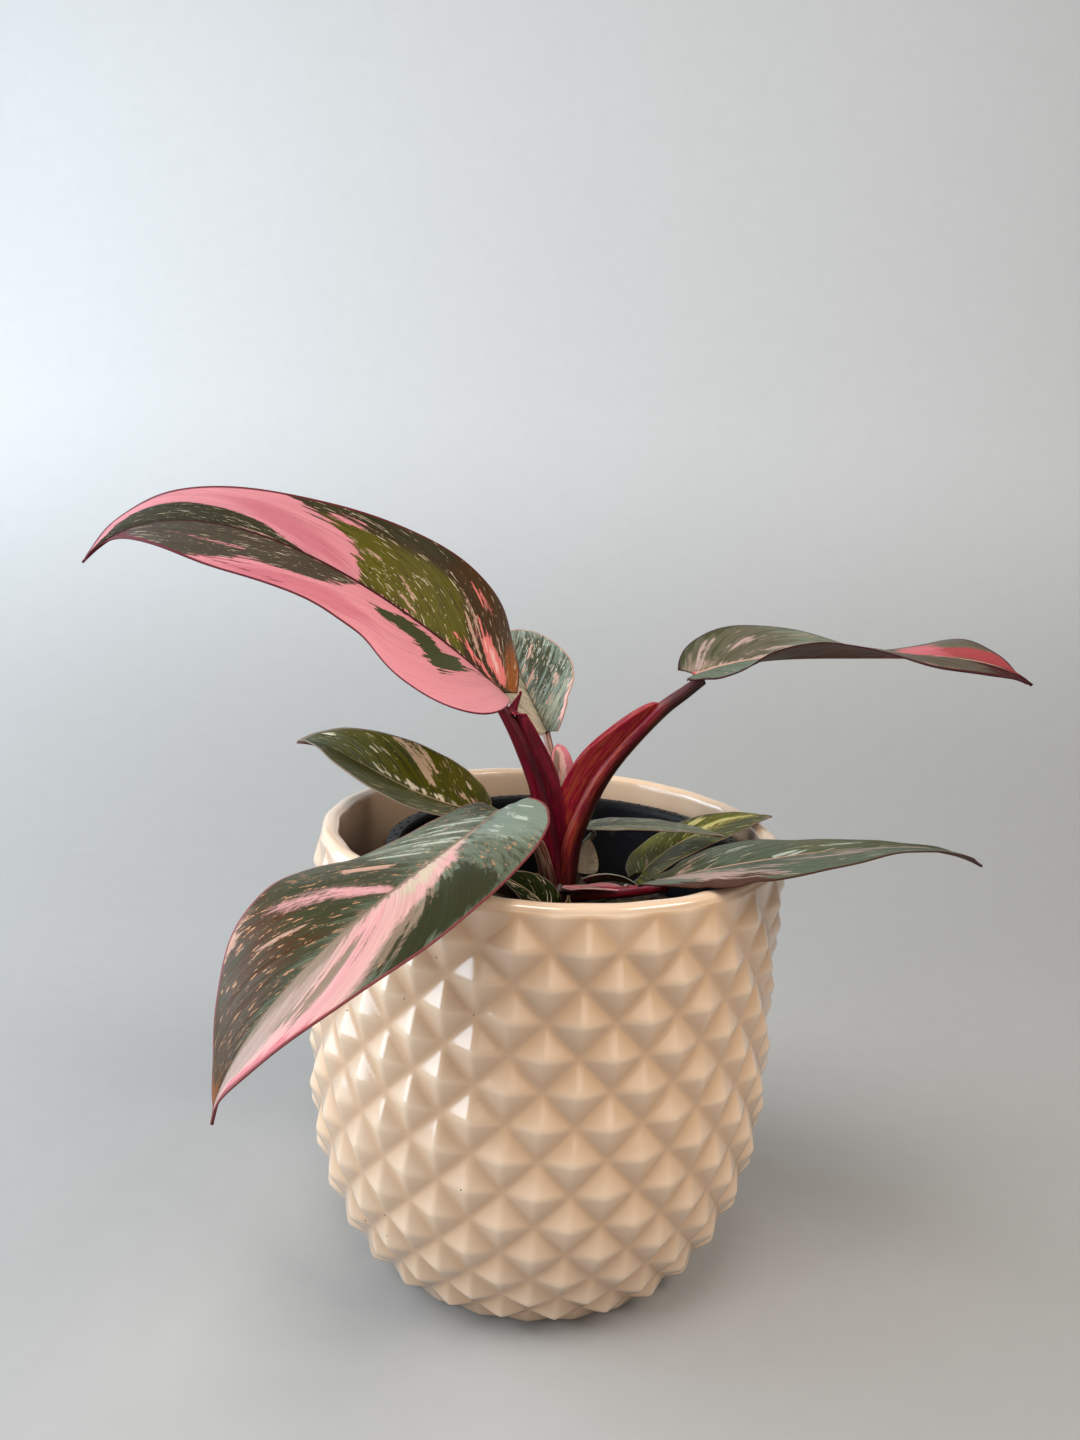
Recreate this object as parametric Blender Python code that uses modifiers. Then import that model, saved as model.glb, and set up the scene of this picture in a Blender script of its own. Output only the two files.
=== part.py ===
"""A pink princess philodendron in its black nursery pot, standing in a diamond-relief cover pot.

Metres, +Z up. The origin is the centre of the cover pot's underside. -Y is the side that is seen
first: the big pink leaf hangs to -X and the twisted leaf to +X.
"""

import math

import bmesh
import bpy
import numpy as np
from mathutils import Matrix

# The gap that separate pieces keep where one rests on or in another.
GAP = 0.0003
# Points closer than this are one point, and slopes are read over this height.
SAME_PLACE = 0.00001
SLOPE_STEP = 0.001

# Cover pot
POT_HEIGHT = 0.135
POT_RADIUS = 0.070
POT_WALL = 0.0055
POT_FLOOR = 0.0085
POT_FOOT_RADIUS = 0.0495
BELLY_HEIGHT = 0.068
BELLY_CURVE = 2.9
FOOT_PULL = 0.28
WAIST = 0.0008
# The inside wall starts this far above the floor and ends this far below the top, in even steps.
INSIDE_LOW = 0.006
INSIDE_HIGH = 0.012
INSIDE_STEPS = 7
INSIDE_ROUND = 0.003
# The rounded rim, from its inner edge to its outer one: in from the outer face, and down from the top.
RIM_CURVE = ((0.0054, 0.0022), (0.0044, 0.0005), (0.0027, 0.0), (0.0007, 0.0006))
DIAMONDS_ROUND = 24
FIRST_ROW_HEIGHT = 0.1228
ROW_STEP = 0.0099
RELIEF_ROWS = 14
LOWEST_ROW_HEIGHT = 0.001
RELIEF = 0.0023
RIM_RELIEF = 0.0004
FOOT_RELIEF = 0.0010
LATTICE_TURN = math.radians(1.46)

# Nursery pot, which stands a little to one side in the cover pot
NURSERY_CENTRE = (0.0059, -0.0007)
NURSERY_TOP = 0.129
NURSERY_RIM_RADIUS = 0.0565
NURSERY_SKIRT = 0.010
NURSERY_SHOULDER_RADIUS = 0.0534
NURSERY_BASE_RADIUS = 0.041
NURSERY_WALL = 0.001
NURSERY_RIM_WIDTH = 0.0042
NURSERY_RIM_ROUND = 0.0008
NURSERY_RIM_DROP = 0.0015
NURSERY_EDGE = 0.001
NURSERY_SKIRT_TAPER = 0.0005
NURSERY_INSIDE_TAPER = 0.0006
NURSERY_STEPS = 36
DRAIN_HOLES = 5
DRAIN_HOLE_RADIUS = 0.0045
DRAIN_RING_RADIUS = 0.028
DRAIN_CUT_DEPTH = 0.008

# Soil
SOIL_TOP = 0.103
SOIL_EDGE_DROP = 0.0015
# How far the soil's surface has sunk at these radii.
SOIL_CROWN = ((0.0, 0.0), (0.020, 0.0002), (0.040, 0.0008))
SOIL_CLEARANCE = 0.0006
STEM_HOLE_ABOVE = 0.005

# Stem
STEM_CENTRE = (0.004, 0.0)
STEM_FOOT = 0.085
STEM_RADIUS = 0.0055
STEM_HEIGHTS = (STEM_FOOT, 0.098, 0.110, 0.119, 0.126)
STEM_LEAN = 0.0004
STEM_TOP_RADIUS = 0.0030
STEM_HOLE_RADIUS = 0.0062

# Leaf blades. Every blade has a rounded base and a drawn-out tip: its half width grows as the sine
# of the way along it to the power MARGIN_BASE, and falls off by MARGIN_TIP.
BLADE_THICKNESS = 0.0008
MARGIN_BASE = 0.72
MARGIN_TIP = 0.8
SINUS_SHARE = 0.28
SINUS_FADE = 0.06
VEIN_SWEEP = 1.15
TIP_HALF_WIDTH = 0.0004
MIDRIB_SAMPLES = 161
SWELL_SAMPLES = 401
PETIOLE_SEAT = 0.001

# One entry for each leaf blade. base is where the midrib starts, and length is along the midrib.
# left and right are half widths from base to tip, and lobes is how far the base reaches back on each
# side. heading (0 is +X, 90 is +Y), pitch (up) and roll of the midrib are degrees from base to tip.
# fold is how far each half rises from the midrib, and curl is how far it bends down on the way out.
# grid is its faces along and across. petiole is the route of its stalk out of the stem, and stalk is
# the stalk's radius from the stem to the blade.
LEAVES = {
    "leaf_upper_left": dict(
        base=(-0.0175, -0.0036, 0.1761),
        length=0.1496,
        left=(0.0262, 0.0517, 0.0168, 0.0204, 0.0071, 0.0268),
        right=(0.0255, 0.0349, 0.0194, 0.0209, 0.0265),
        lobes=(0.0003, 0.0051),
        heading=(187.7, 175.6, 168.4, 168.4),
        pitch=(42.7, 28.4, 5.6, -47.8),
        roll=(8.7, 44.2, 59.5, 25.8),
        fold=(15.7, 9.1),
        curl=8.5,
        grid=(22, 8),
        petiole=(
            (0.0032, 0.0, 0.110),
            (0.0005, -0.0004, 0.128),
            (-0.0046, -0.0012, 0.1467),
            (-0.0101, -0.0024, 0.1598),
            (-0.0147, -0.0030, 0.1682),
        ),
        stalk=(0.0034, 0.0027, 0.0016),
    ),
    "leaf_upper_right": dict(
        base=(0.0405, -0.0028, 0.1848),
        length=0.0977,
        left=(0.0218, 0.0245, 0.0272, 0.0201),
        right=(0.0148, 0.0132, 0.0189, 0.0157),
        lobes=(0.0053, 0.0030),
        heading=(-8.0, -41.0, -42.0, -7.0),
        pitch=(26.5, 12.0, 8.5, 4.5, -35.5),
        roll=(-15.0, -7.5, 9.5, -8.5, -1.0),
        fold=(17.0, 11.5, 15.0, 10.0, -9.0),
        curl=16.0,
        grid=(20, 8),
        petiole=(
            (0.0050, 0.0, 0.110),
            (0.0063, 0.0, 0.129),
            (0.0096, -0.0004, 0.1404),
            (0.0141, -0.0009, 0.1510),
            (0.0207, -0.0014, 0.1611),
            (0.0304, -0.0020, 0.1729),
            (0.0374, -0.0026, 0.1792),
        ),
        stalk=(0.0036, 0.0028, 0.0017),
    ),
    "leaf_upper_back": dict(
        base=(-0.0034, 0.0260, 0.1582),
        length=0.0677,
        left=(0.0159,),
        right=(0.0180, 0.0192, 0.0197, 0.0183),
        lobes=(0.0045, 0.0052),
        heading=(110.6, 110.6, 96.6, 89.6),
        pitch=(26.7, 25.7, 21.5, 4.7),
        roll=(20.9, 10.4, 6.0, 2.0),
        fold=(54.6, 11.5),
        curl=4.3,
        grid=(15, 8),
        petiole=(
            (0.0040, 0.0030, 0.1105),
            (0.0039, 0.0098, 0.1160),
            (0.0034, 0.0130, 0.1240),
            (0.0014, 0.0168, 0.1380),
            (-0.0009, 0.0212, 0.1495),
        ),
        stalk=(0.0022, 0.0016, 0.0013),
    ),
    "leaf_left": dict(
        base=(-0.0191, 0.0057, 0.1358),
        length=0.0741,
        left=(0.0170, 0.0181, 0.0182, 0.0167),
        right=(0.0172, 0.0172, 0.0174, 0.0180),
        lobes=(0.0037, 0.0009),
        heading=(196.3, 166.5, 149.3, 151.8),
        pitch=(4.4, 16.9, 12.8, -9.1),
        roll=(11.6, 15.5, 16.5, 8.0),
        fold=(19.4, 40.7),
        curl=9.6,
        grid=(15, 8),
        petiole=(
            (0.0030, 0.0015, 0.112),
            (-0.0040, 0.0034, 0.126),
            (-0.0120, 0.0048, 0.1325),
        ),
        stalk=(0.0022, 0.0017, 0.0013),
    ),
    "leaf_front_left": dict(
        base=(-0.0151, -0.0265, 0.1463),
        length=0.1280,
        left=(0.0245, 0.0233, 0.0250, 0.0274),
        right=(0.0334, 0.0265, 0.0405, 0.0326),
        lobes=(0.0073, 0.0031),
        heading=(237.2, 249.1, 229.3, 198.2),
        pitch=(-16.9, -4.0, -30.0, -81.5),
        roll=(-11.5, -6.4, 7.3, -10.0),
        fold=(6.0, 9.2),
        curl=27.8,
        grid=(22, 8),
        petiole=(
            (0.0020, -0.0020, 0.110),
            (-0.0032, -0.0084, 0.1300),
            (-0.0102, -0.0190, 0.1412),
        ),
        stalk=(0.0026, 0.0019, 0.0015),
    ),
    "leaf_right": dict(
        base=(0.0318, -0.0308, 0.1294),
        length=0.1026,
        left=(0.0191, 0.0185, 0.0176, 0.0179),
        right=(0.0189, 0.0206, 0.0191, 0.0179),
        lobes=(0.0046, 0.0048),
        heading=(-18.3, 9.0, 17.0, 25.5),
        pitch=(25.4, 9.3, -1.4, -29.1),
        roll=(8.3, 4.2, 10.9, -3.1),
        fold=(12.4, 4.8),
        curl=16.3,
        grid=(18, 8),
        petiole=(
            (0.0060, -0.0025, 0.110),
            (0.0120, -0.0110, 0.1170),
            (0.0220, -0.0215, 0.1222),
        ),
        stalk=(0.0024, 0.0020, 0.0014),
    ),
    "leaf_right_back": dict(
        base=(0.0301, 0.0062, 0.1193),
        length=0.0479,
        left=(0.0125, 0.0120, 0.0114, 0.0112),
        right=(0.0123, 0.0126, 0.0129, 0.0120),
        lobes=(0.0050, 0.0048),
        heading=(11.0, 10.3, 20.3, 27.9),
        pitch=(50.4, 30.0, 12.8, -6.6),
        roll=(-5.2, -3.2, -3.9, 5.8),
        fold=(15.3, 4.5),
        curl=13.5,
        grid=(12, 6),
        petiole=(
            (0.0070, 0.0010, 0.108),
            (0.0160, 0.0035, 0.1100),
            (0.0255, 0.0052, 0.1135),
        ),
        stalk=(0.0018, 0.0014, 0.0012),
    ),
    "leaf_narrow_back": dict(
        base=(0.0123, 0.0072, 0.1321),
        length=0.0427,
        left=(0.0084, 0.0082, 0.0079, 0.0076),
        right=(0.0036, 0.0086, 0.0082, 0.0080),
        lobes=(0.0032, 0.0030),
        heading=(-18.0,),
        pitch=(13.8, 7.9, 2.2, -0.5),
        roll=(0.2, 2.5, 2.6, 5.7),
        fold=(14.3, 9.9),
        curl=12.9,
        grid=(12, 6),
        petiole=(
            (0.0065, 0.0030, 0.1120),
            (0.0096, 0.0070, 0.1185),
            (0.0104, 0.0084, 0.1252),
        ),
        stalk=(0.0016, 0.0013, 0.0011),
    ),
    "leaf_front_dark": dict(
        base=(0.0016, -0.0100, 0.1092),
        length=0.0255,
        left=(0.0048,),
        right=(0.0068,),
        lobes=(0.0020, 0.0020),
        heading=(216.0, 212.0),
        pitch=(52.0, 26.0),
        roll=(72.0,),
        fold=(14.0,),
        curl=14.0,
        grid=(10, 6),
        petiole=(
            (0.0032, -0.0030, 0.1060),
            (0.0032, -0.0064, 0.1066),
        ),
        stalk=(0.0016, 0.0013, 0.0011),
    ),
    "leaf_front_olive": dict(
        base=(-0.0100, -0.0180, 0.1155),
        length=0.0250,
        left=(0.0072,),
        right=(0.0072,),
        lobes=(0.0015, 0.0015),
        heading=(196.0, 206.0),
        pitch=(22.0, -8.0),
        roll=(34.0,),
        fold=(12.0,),
        curl=12.0,
        grid=(9, 4),
        petiole=(
            (0.0000, -0.0015, 0.1055),
            (-0.0045, -0.0070, 0.1062),
            (-0.0080, -0.0130, 0.1092),
        ),
        stalk=(0.0015, 0.0012, 0.0010),
    ),
    "leaf_low_right": dict(
        base=(0.0150, -0.0065, 0.1100),
        length=0.0360,
        left=(0.0080,),
        right=(0.0080,),
        lobes=(0.0015, 0.0015),
        heading=(-20.0, -8.0),
        pitch=(18.0, -4.0),
        roll=(6.0,),
        fold=(12.0,),
        curl=14.0,
        grid=(10, 4),
        petiole=(
            (0.0070, -0.0020, 0.106),
            (0.0105, -0.0045, 0.1066),
            (0.0130, -0.0058, 0.1074),
        ),
        stalk=(0.0014, 0.0011, 0.0010),
    ),
    "leaf_curled": dict(
        base=(0.0118, -0.0036, 0.1186),
        length=0.0165,
        left=(0.0042,),
        right=(0.0050,),
        lobes=(0.0010, 0.0010),
        heading=(-2.0, -10.0),
        pitch=(26.0, -28.0),
        roll=(34.0,),
        fold=(8.0,),
        curl=26.0,
        grid=(9, 4),
        petiole=(
            (0.0060, -0.0010, 0.1120),
            (0.0092, -0.0026, 0.1142),
        ),
        stalk=(0.0014, 0.0011, 0.0010),
    ),
}

# Pieces that clasp the stem: they are blades with no stalk of their own.
CLASPING_LEAVES = {
    "leaf_new": dict(
        base=(0.0031, 0.0068, 0.1190),
        length=0.0405,
        left=(0.0046, 0.0056, 0.0080, 0.0140),
        right=(0.0046, 0.0050, 0.0072, 0.0135),
        lobes=(0.0, 0.0),
        heading=(106.0,),
        pitch=(84.0, 86.0, 83.0, 15.0),
        roll=(0.0,),
        fold=(22.0,),
        curl=-18.0,
        grid=(12, 4),
    ),
    "leaf_bud_front": dict(
        base=(0.0062, -0.0063, 0.1045),
        length=0.0118,
        left=(0.0022,),
        right=(0.0022,),
        lobes=(0.0, 0.0),
        heading=(275.0,),
        pitch=(66.0, 78.0),
        roll=(180.0,),
        fold=(28.0,),
        curl=-10.0,
        grid=(8, 4),
    ),
    "dried_sheath": dict(
        base=(0.0120, 0.0045, 0.1180),
        length=0.0112,
        left=(0.0040,),
        right=(0.0038,),
        lobes=(0.0, 0.0),
        heading=(84.0,),
        pitch=(89.0, 85.0),
        roll=(0.0,),
        fold=(10.0,),
        curl=-20.0,
        grid=(8, 4),
    ),
}

# Winged sheaths of the petioles: each is a trough that follows its own route and ends in a point.
SHEATHS = {
    "sheath_upper_left": dict(
        route=(
            (0.0022, -0.0002, 0.116),
            (0.0006, -0.0006, 0.128),
            (-0.0042, -0.0012, 0.1467),
            (-0.0092, -0.0024, 0.1598),
            (-0.0118, -0.0026, 0.1690),
            (-0.0114, -0.0024, 0.1765),
        ),
        half_width=(0.0040, 0.0062, 0.0062, 0.0040),
        fold=(50.0, 62.0, 12.0),
        curl=-30.0,
        grid=(14, 6),
    ),
    "sheath_upper_right": dict(
        route=(
            (0.0052, 0.0, 0.114),
            (0.0066, 0.0, 0.129),
            (0.0096, -0.0004, 0.1404),
            (0.0139, -0.0009, 0.1512),
            (0.0203, -0.0014, 0.1615),
            (0.0300, -0.0019, 0.1752),
        ),
        half_width=(0.0060, 0.0086, 0.0098, 0.0100),
        fold=(48.0, 60.0, 24.0),
        curl=-36.0,
        grid=(14, 6),
    ),
    "sheath_right": dict(
        route=(
            (0.0046, -0.0056, 0.1166),
            (0.0095, -0.0090, 0.1172),
            (0.0132, -0.0124, 0.1188),
            (0.0178, -0.0174, 0.1210),
            (0.0234, -0.0230, 0.1230),
        ),
        half_width=(0.0014, 0.0046, 0.0050, 0.0028),
        fold=(20.0,),
        curl=10.0,
        grid=(12, 4),
    ),
}
SHEATH_THICKNESS = 0.0009
SHEATH_START = 0.12
SHEATH_ROUND = 0.45

# A stalk thicker than this at its foot gets more sides and rings than the thin ones.
THICK_STALK = 0.003
THICK_BEVEL_RESOLUTION = 3
THIN_BEVEL_RESOLUTION = 1
THICK_SAMPLES = 13
THIN_SAMPLES = 8

COLOURS = {
    "cream_glaze": ((0.78, 0.62, 0.46), 0.18),
    "black_plastic": ((0.02, 0.022, 0.026), 0.45),
    "soil": ((0.05, 0.032, 0.02), 0.95),
    "burgundy": ((0.20, 0.01, 0.03), 0.4),
    "leaf_pink": ((0.78, 0.22, 0.27), 0.35),
    "leaf_green": ((0.07, 0.09, 0.04), 0.35),
    "leaf_olive": ((0.13, 0.13, 0.02), 0.35),
    "dry_leaf": ((0.45, 0.36, 0.25), 0.8),
}
LEAF_COLOURS = {
    "leaf_upper_left": "leaf_pink",
    "leaf_new": "leaf_pink",
    "leaf_left": "leaf_olive",
    "leaf_right_back": "leaf_olive",
    "leaf_front_olive": "leaf_olive",
    "leaf_low_right": "leaf_olive",
    "leaf_bud_front": "leaf_olive",
    "dried_sheath": "dry_leaf",
}


def clear_scene():
    for obj in list(bpy.data.objects):
        bpy.data.objects.remove(obj, do_unlink=True)


def new_collection(name):
    collection = bpy.data.collections.new(name)
    bpy.context.scene.collection.children.link(collection)
    return collection


def make_material(name):
    colour, roughness = COLOURS[name]
    material = bpy.data.materials.new(name)
    material.use_nodes = True
    shader = material.node_tree.nodes["Principled BSDF"]
    shader.inputs["Base Color"].default_value = (*colour, 1.0)
    shader.inputs["Roughness"].default_value = roughness
    shader.inputs["Metallic"].default_value = 0.0
    return material


def place(name, mesh, collection, material):
    obj = bpy.data.objects.new(name, mesh)
    obj.data.materials.clear()
    obj.data.materials.append(bpy.data.materials[material])
    collection.objects.link(obj)
    return obj


def evaluated_mesh(obj):
    """The object's mesh as its modifiers leave it, with its doubled points joined."""
    bpy.context.view_layer.update()
    graph = bpy.context.evaluated_depsgraph_get()
    mesh = bpy.data.meshes.new_from_object(obj.evaluated_get(graph))
    work = bmesh.new()
    work.from_mesh(mesh)
    bmesh.ops.remove_doubles(work, verts=work.verts, dist=1e-6)
    work.to_mesh(mesh)
    work.free()
    return mesh


def keep_outer_skin(mesh):
    """Drops the inner skins of hollows that a join has sealed, and loose scraps, so they are solid."""
    work = bmesh.new()
    work.from_mesh(mesh)
    unseen = set(work.verts)
    skins = []
    while unseen:
        skin = {unseen.pop()}
        to_visit = list(skin)
        while to_visit:
            vert = to_visit.pop()
            for edge in vert.link_edges:
                other = edge.other_vert(vert)
                if other in unseen:
                    unseen.remove(other)
                    skin.add(other)
                    to_visit.append(other)
        skins.append(skin)
    skins.sort(key=len)
    for skin in skins[:-1]:
        bmesh.ops.delete(work, geom=list(skin), context="VERTS")
    work.to_mesh(mesh)
    work.free()


def turned_mesh(name, profile, steps):
    """A profile of (radius, height) points, down the outer side, turned round Z."""
    mesh = bpy.data.meshes.new(name + "_profile")
    points = [(radius, 0.0, height) for radius, height in profile]
    mesh.from_pydata(points, [(i, i + 1) for i in range(len(points) - 1)], [])
    obj = bpy.data.objects.new(name + "_profile", mesh)
    bpy.context.scene.collection.objects.link(obj)
    screw = obj.modifiers.new("turn", "SCREW")
    screw.axis = "Z"
    screw.steps = steps
    screw.render_steps = steps
    screw.use_merge_vertices = True
    screw.merge_threshold = SAME_PLACE
    turned = evaluated_mesh(obj)
    bpy.data.objects.remove(obj, do_unlink=True)
    return turned


def smooth_values(values, along):
    """The polynomial through evenly spaced values, read at along (0 to 1)."""
    stations = np.linspace(0.0, 1.0, len(values))
    return np.polyval(np.polyfit(stations, values, len(values) - 1), along)


def pot_radius(height):
    """The radius of the cover pot where its diamonds meet: a rounded belly below a slight waist."""
    if height < BELLY_HEIGHT:
        down = 1.0 - height / BELLY_HEIGHT
        return POT_RADIUS * (1.0 - FOOT_PULL * down**BELLY_CURVE)
    up = (height - BELLY_HEIGHT) / (POT_HEIGHT - BELLY_HEIGHT)
    return POT_RADIUS - WAIST * math.sin(math.pi * up)


def pot_rows():
    """Heights of the lattice rows, stepping down the wall in proportion to the radius there."""
    heights = [FIRST_ROW_HEIGHT + ROW_STEP, FIRST_ROW_HEIGHT]
    while len(heights) < RELIEF_ROWS + 1:
        height = heights[-1]
        radius = pot_radius(height)
        slope = (pot_radius(height) - pot_radius(height - SLOPE_STEP)) / SLOPE_STEP
        step = ROW_STEP * radius / POT_RADIUS
        heights.append(height - step / math.hypot(1.0, slope))
    return [height for height in heights if height > LOWEST_ROW_HEIGHT]


def row_relief(row, rows):
    if row == 0:
        return RIM_RELIEF
    return FOOT_RELIEF if row == rows - 1 else RELIEF


def cover_pot_profile(rows):
    rim = [(POT_RADIUS - inward, POT_HEIGHT - down) for inward, down in RIM_CURVE]
    wall_heights = np.linspace(POT_FLOOR + INSIDE_LOW, POT_HEIGHT - INSIDE_HIGH, INSIDE_STEPS)
    wall = [(pot_radius(h) - POT_WALL, h) for h in wall_heights]
    floor_radius = pot_radius(POT_FLOOR) - POT_WALL - INSIDE_ROUND
    floor = [(0.0, POT_FLOOR), (floor_radius, POT_FLOOR)]
    outer = [(pot_radius(h), h) for h in rows]
    return floor + wall + rim + outer + [(POT_FOOT_RADIUS, 0.0), (0.0, 0.0)]


def raise_diamonds(mesh, rows):
    """Pulls every second lattice point out into a blunt point, and creases the valleys between."""
    columns = 2 * DIAMONDS_ROUND
    work = bmesh.new()
    work.from_mesh(mesh)
    place_of = {}
    for vert in work.verts:
        radius = math.hypot(vert.co.x, vert.co.y)
        for row, height in enumerate(rows):
            on_row = abs(vert.co.z - height) < SAME_PLACE
            if on_row and abs(radius - pot_radius(height)) < SAME_PLACE:
                column = round(math.atan2(vert.co.y, vert.co.x) / math.tau * columns)
                place_of[vert] = (column % columns, row)
    for face in list(work.faces):
        corners = [vert for vert in face.verts if vert in place_of]
        if len(corners) == 4:
            valley = [vert for vert in corners if sum(place_of[vert]) % 2 == 1]
            bmesh.utils.face_split(face, valley[0], valley[1])
    for vert, (column, row) in place_of.items():
        if (column + row) % 2 == 0:
            height = rows[row]
            slope = (pot_radius(height + SLOPE_STEP) - pot_radius(height - SLOPE_STEP)) / (2 * SLOPE_STEP)
            out = row_relief(row, len(rows)) / math.hypot(1.0, slope)
            angle = column / columns * math.tau
            vert.co.x += out * math.cos(angle)
            vert.co.y += out * math.sin(angle)
            vert.co.z -= out * slope
    work.to_mesh(mesh)
    work.free()
    mesh.transform(Matrix.Rotation(LATTICE_TURN, 4, "Z"))


def make_cover_pot(collection):
    rows = pot_rows()
    mesh = turned_mesh("cover_pot", cover_pot_profile(rows), 2 * DIAMONDS_ROUND)
    raise_diamonds(mesh, rows)
    place("cover_pot", mesh, collection, "cream_glaze")


def nursery_outer_radius(height):
    """The outside of the nursery pot's tapered wall, below its skirt."""
    base = POT_FLOOR + GAP
    shoulder = NURSERY_TOP - NURSERY_SKIRT
    share = (height - base) / (shoulder - base)
    return NURSERY_BASE_RADIUS + share * (NURSERY_SHOULDER_RADIUS - NURSERY_BASE_RADIUS)


def make_nursery_pot(collection, cutters):
    base = POT_FLOOR + GAP
    shoulder = NURSERY_TOP - NURSERY_SKIRT
    inside = NURSERY_RIM_RADIUS - NURSERY_RIM_WIDTH
    profile = [
        (0.0, base + NURSERY_WALL),
        (NURSERY_BASE_RADIUS - NURSERY_WALL, base + NURSERY_WALL),
        (NURSERY_SHOULDER_RADIUS - NURSERY_WALL - NURSERY_INSIDE_TAPER, shoulder),
        (inside, NURSERY_TOP - NURSERY_RIM_DROP),
        (inside + NURSERY_RIM_ROUND, NURSERY_TOP),
        (NURSERY_RIM_RADIUS - NURSERY_RIM_ROUND, NURSERY_TOP),
        (NURSERY_RIM_RADIUS, NURSERY_TOP - NURSERY_EDGE),
        (NURSERY_RIM_RADIUS - NURSERY_SKIRT_TAPER, shoulder),
        (NURSERY_SHOULDER_RADIUS, shoulder - NURSERY_EDGE),
        (NURSERY_BASE_RADIUS, base + NURSERY_EDGE),
        (NURSERY_BASE_RADIUS - NURSERY_EDGE, base),
        (0.0, base),
    ]
    mesh = turned_mesh("nursery_pot", profile, NURSERY_STEPS)
    pot = place("nursery_pot", mesh, collection, "black_plastic")
    pot.location = (*NURSERY_CENTRE, 0.0)
    for hole in range(DRAIN_HOLES):
        angle = math.tau * (hole + 0.25) / DRAIN_HOLES
        x = NURSERY_CENTRE[0] + DRAIN_RING_RADIUS * math.cos(angle)
        y = NURSERY_CENTRE[1] + DRAIN_RING_RADIUS * math.sin(angle)
        cutter = make_cutter("drain_hole_%d" % hole, DRAIN_HOLE_RADIUS, base, DRAIN_CUT_DEPTH, x, y, cutters)
        cut = pot.modifiers.new("drain_%d" % hole, "BOOLEAN")
        cut.operation = "DIFFERENCE"
        cut.object = cutter


def make_cutter(name, radius, height, depth, x, y, cutters):
    bpy.ops.mesh.primitive_cylinder_add(vertices=16, radius=radius, depth=depth, location=(x, y, height))
    cutter = bpy.context.object
    cutter.name = name
    for owner in list(cutter.users_collection):
        owner.objects.unlink(cutter)
    cutters.objects.link(cutter)
    cutter.hide_render = True
    cutter.display_type = "WIRE"
    return cutter


def make_soil(collection, cutters):
    floor = POT_FLOOR + GAP + NURSERY_WALL + GAP
    clear = NURSERY_WALL + 2 * GAP + SOIL_CLEARANCE
    edge = SOIL_TOP - SOIL_EDGE_DROP
    profile = [
        *[(radius, SOIL_TOP - sunk) for radius, sunk in SOIL_CROWN],
        (nursery_outer_radius(edge) - clear, edge),
        (nursery_outer_radius(floor) - clear, floor),
        (0.0, floor),
    ]
    mesh = turned_mesh("soil", profile, NURSERY_STEPS)
    soil = place("soil", mesh, collection, "soil")
    soil.location = (*NURSERY_CENTRE, 0.0)
    bottom = STEM_FOOT - GAP
    top = SOIL_TOP + STEM_HOLE_ABOVE
    hole = make_cutter("stem_hole", STEM_HOLE_RADIUS, (bottom + top) / 2, top - bottom, *STEM_CENTRE, cutters)
    cut = soil.modifiers.new("stem_hole", "BOOLEAN")
    cut.operation = "DIFFERENCE"
    cut.object = hole


def side_and_up(tangent, roll):
    """The directions to the right of the travel and out of the upper face, for each tangent."""
    level = np.hypot(tangent[:, 0], tangent[:, 1])[:, None]
    flat = np.stack([tangent[:, 1], -tangent[:, 0], 0.0 * tangent[:, 2]], axis=1) / level
    upward = np.cross(flat, tangent)
    turn = np.radians(roll)[:, None]
    return (
        np.cos(turn) * flat + np.sin(turn) * upward,
        np.cos(turn) * upward - np.sin(turn) * flat,
    )


def midrib(leaf):
    """Points, tangents, sides and upward directions at even steps along a blade's midrib."""
    along = np.linspace(0.0, 1.0, MIDRIB_SAMPLES)
    heading = np.radians(smooth_values(leaf["heading"], along))
    pitch = np.radians(smooth_values(leaf["pitch"], along))
    tangent = np.stack(
        [np.cos(pitch) * np.cos(heading), np.cos(pitch) * np.sin(heading), np.sin(pitch)], axis=1
    )
    step = leaf["length"] / (MIDRIB_SAMPLES - 1)
    points = np.zeros_like(tangent)
    points[1:] = np.cumsum((tangent[1:] + tangent[:-1]) / 2, axis=0) * step
    points += np.array(leaf["base"])
    side, up = side_and_up(tangent, smooth_values(leaf["roll"], along))
    return points, tangent, side, up


def margin(leaf, half, along):
    """How far along the midrib, and how far out from it, each point of one margin lies."""
    widths = leaf["left"] if half < 0 else leaf["right"]
    lobe = leaf["lobes"][0] if half < 0 else leaf["lobes"][1]
    way = np.linspace(0.0, 1.0, SWELL_SAMPLES)[1:-1]
    peak = (np.sin(math.pi * way) ** MARGIN_BASE * (1 - way) ** MARGIN_TIP).max()
    width = smooth_values(widths, along)
    swell = np.sin(math.pi * along).clip(0.0) ** MARGIN_BASE * (1 - along) ** MARGIN_TIP / peak
    out = np.maximum(width * swell, SINUS_SHARE * width * np.exp(-((along / SINUS_FADE) ** 2)))
    reach = -lobe + (leaf["length"] + lobe) * (1 - np.cos(math.pi * along)) / 2
    return reach, np.maximum(out, TIP_HALF_WIDTH)


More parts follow.
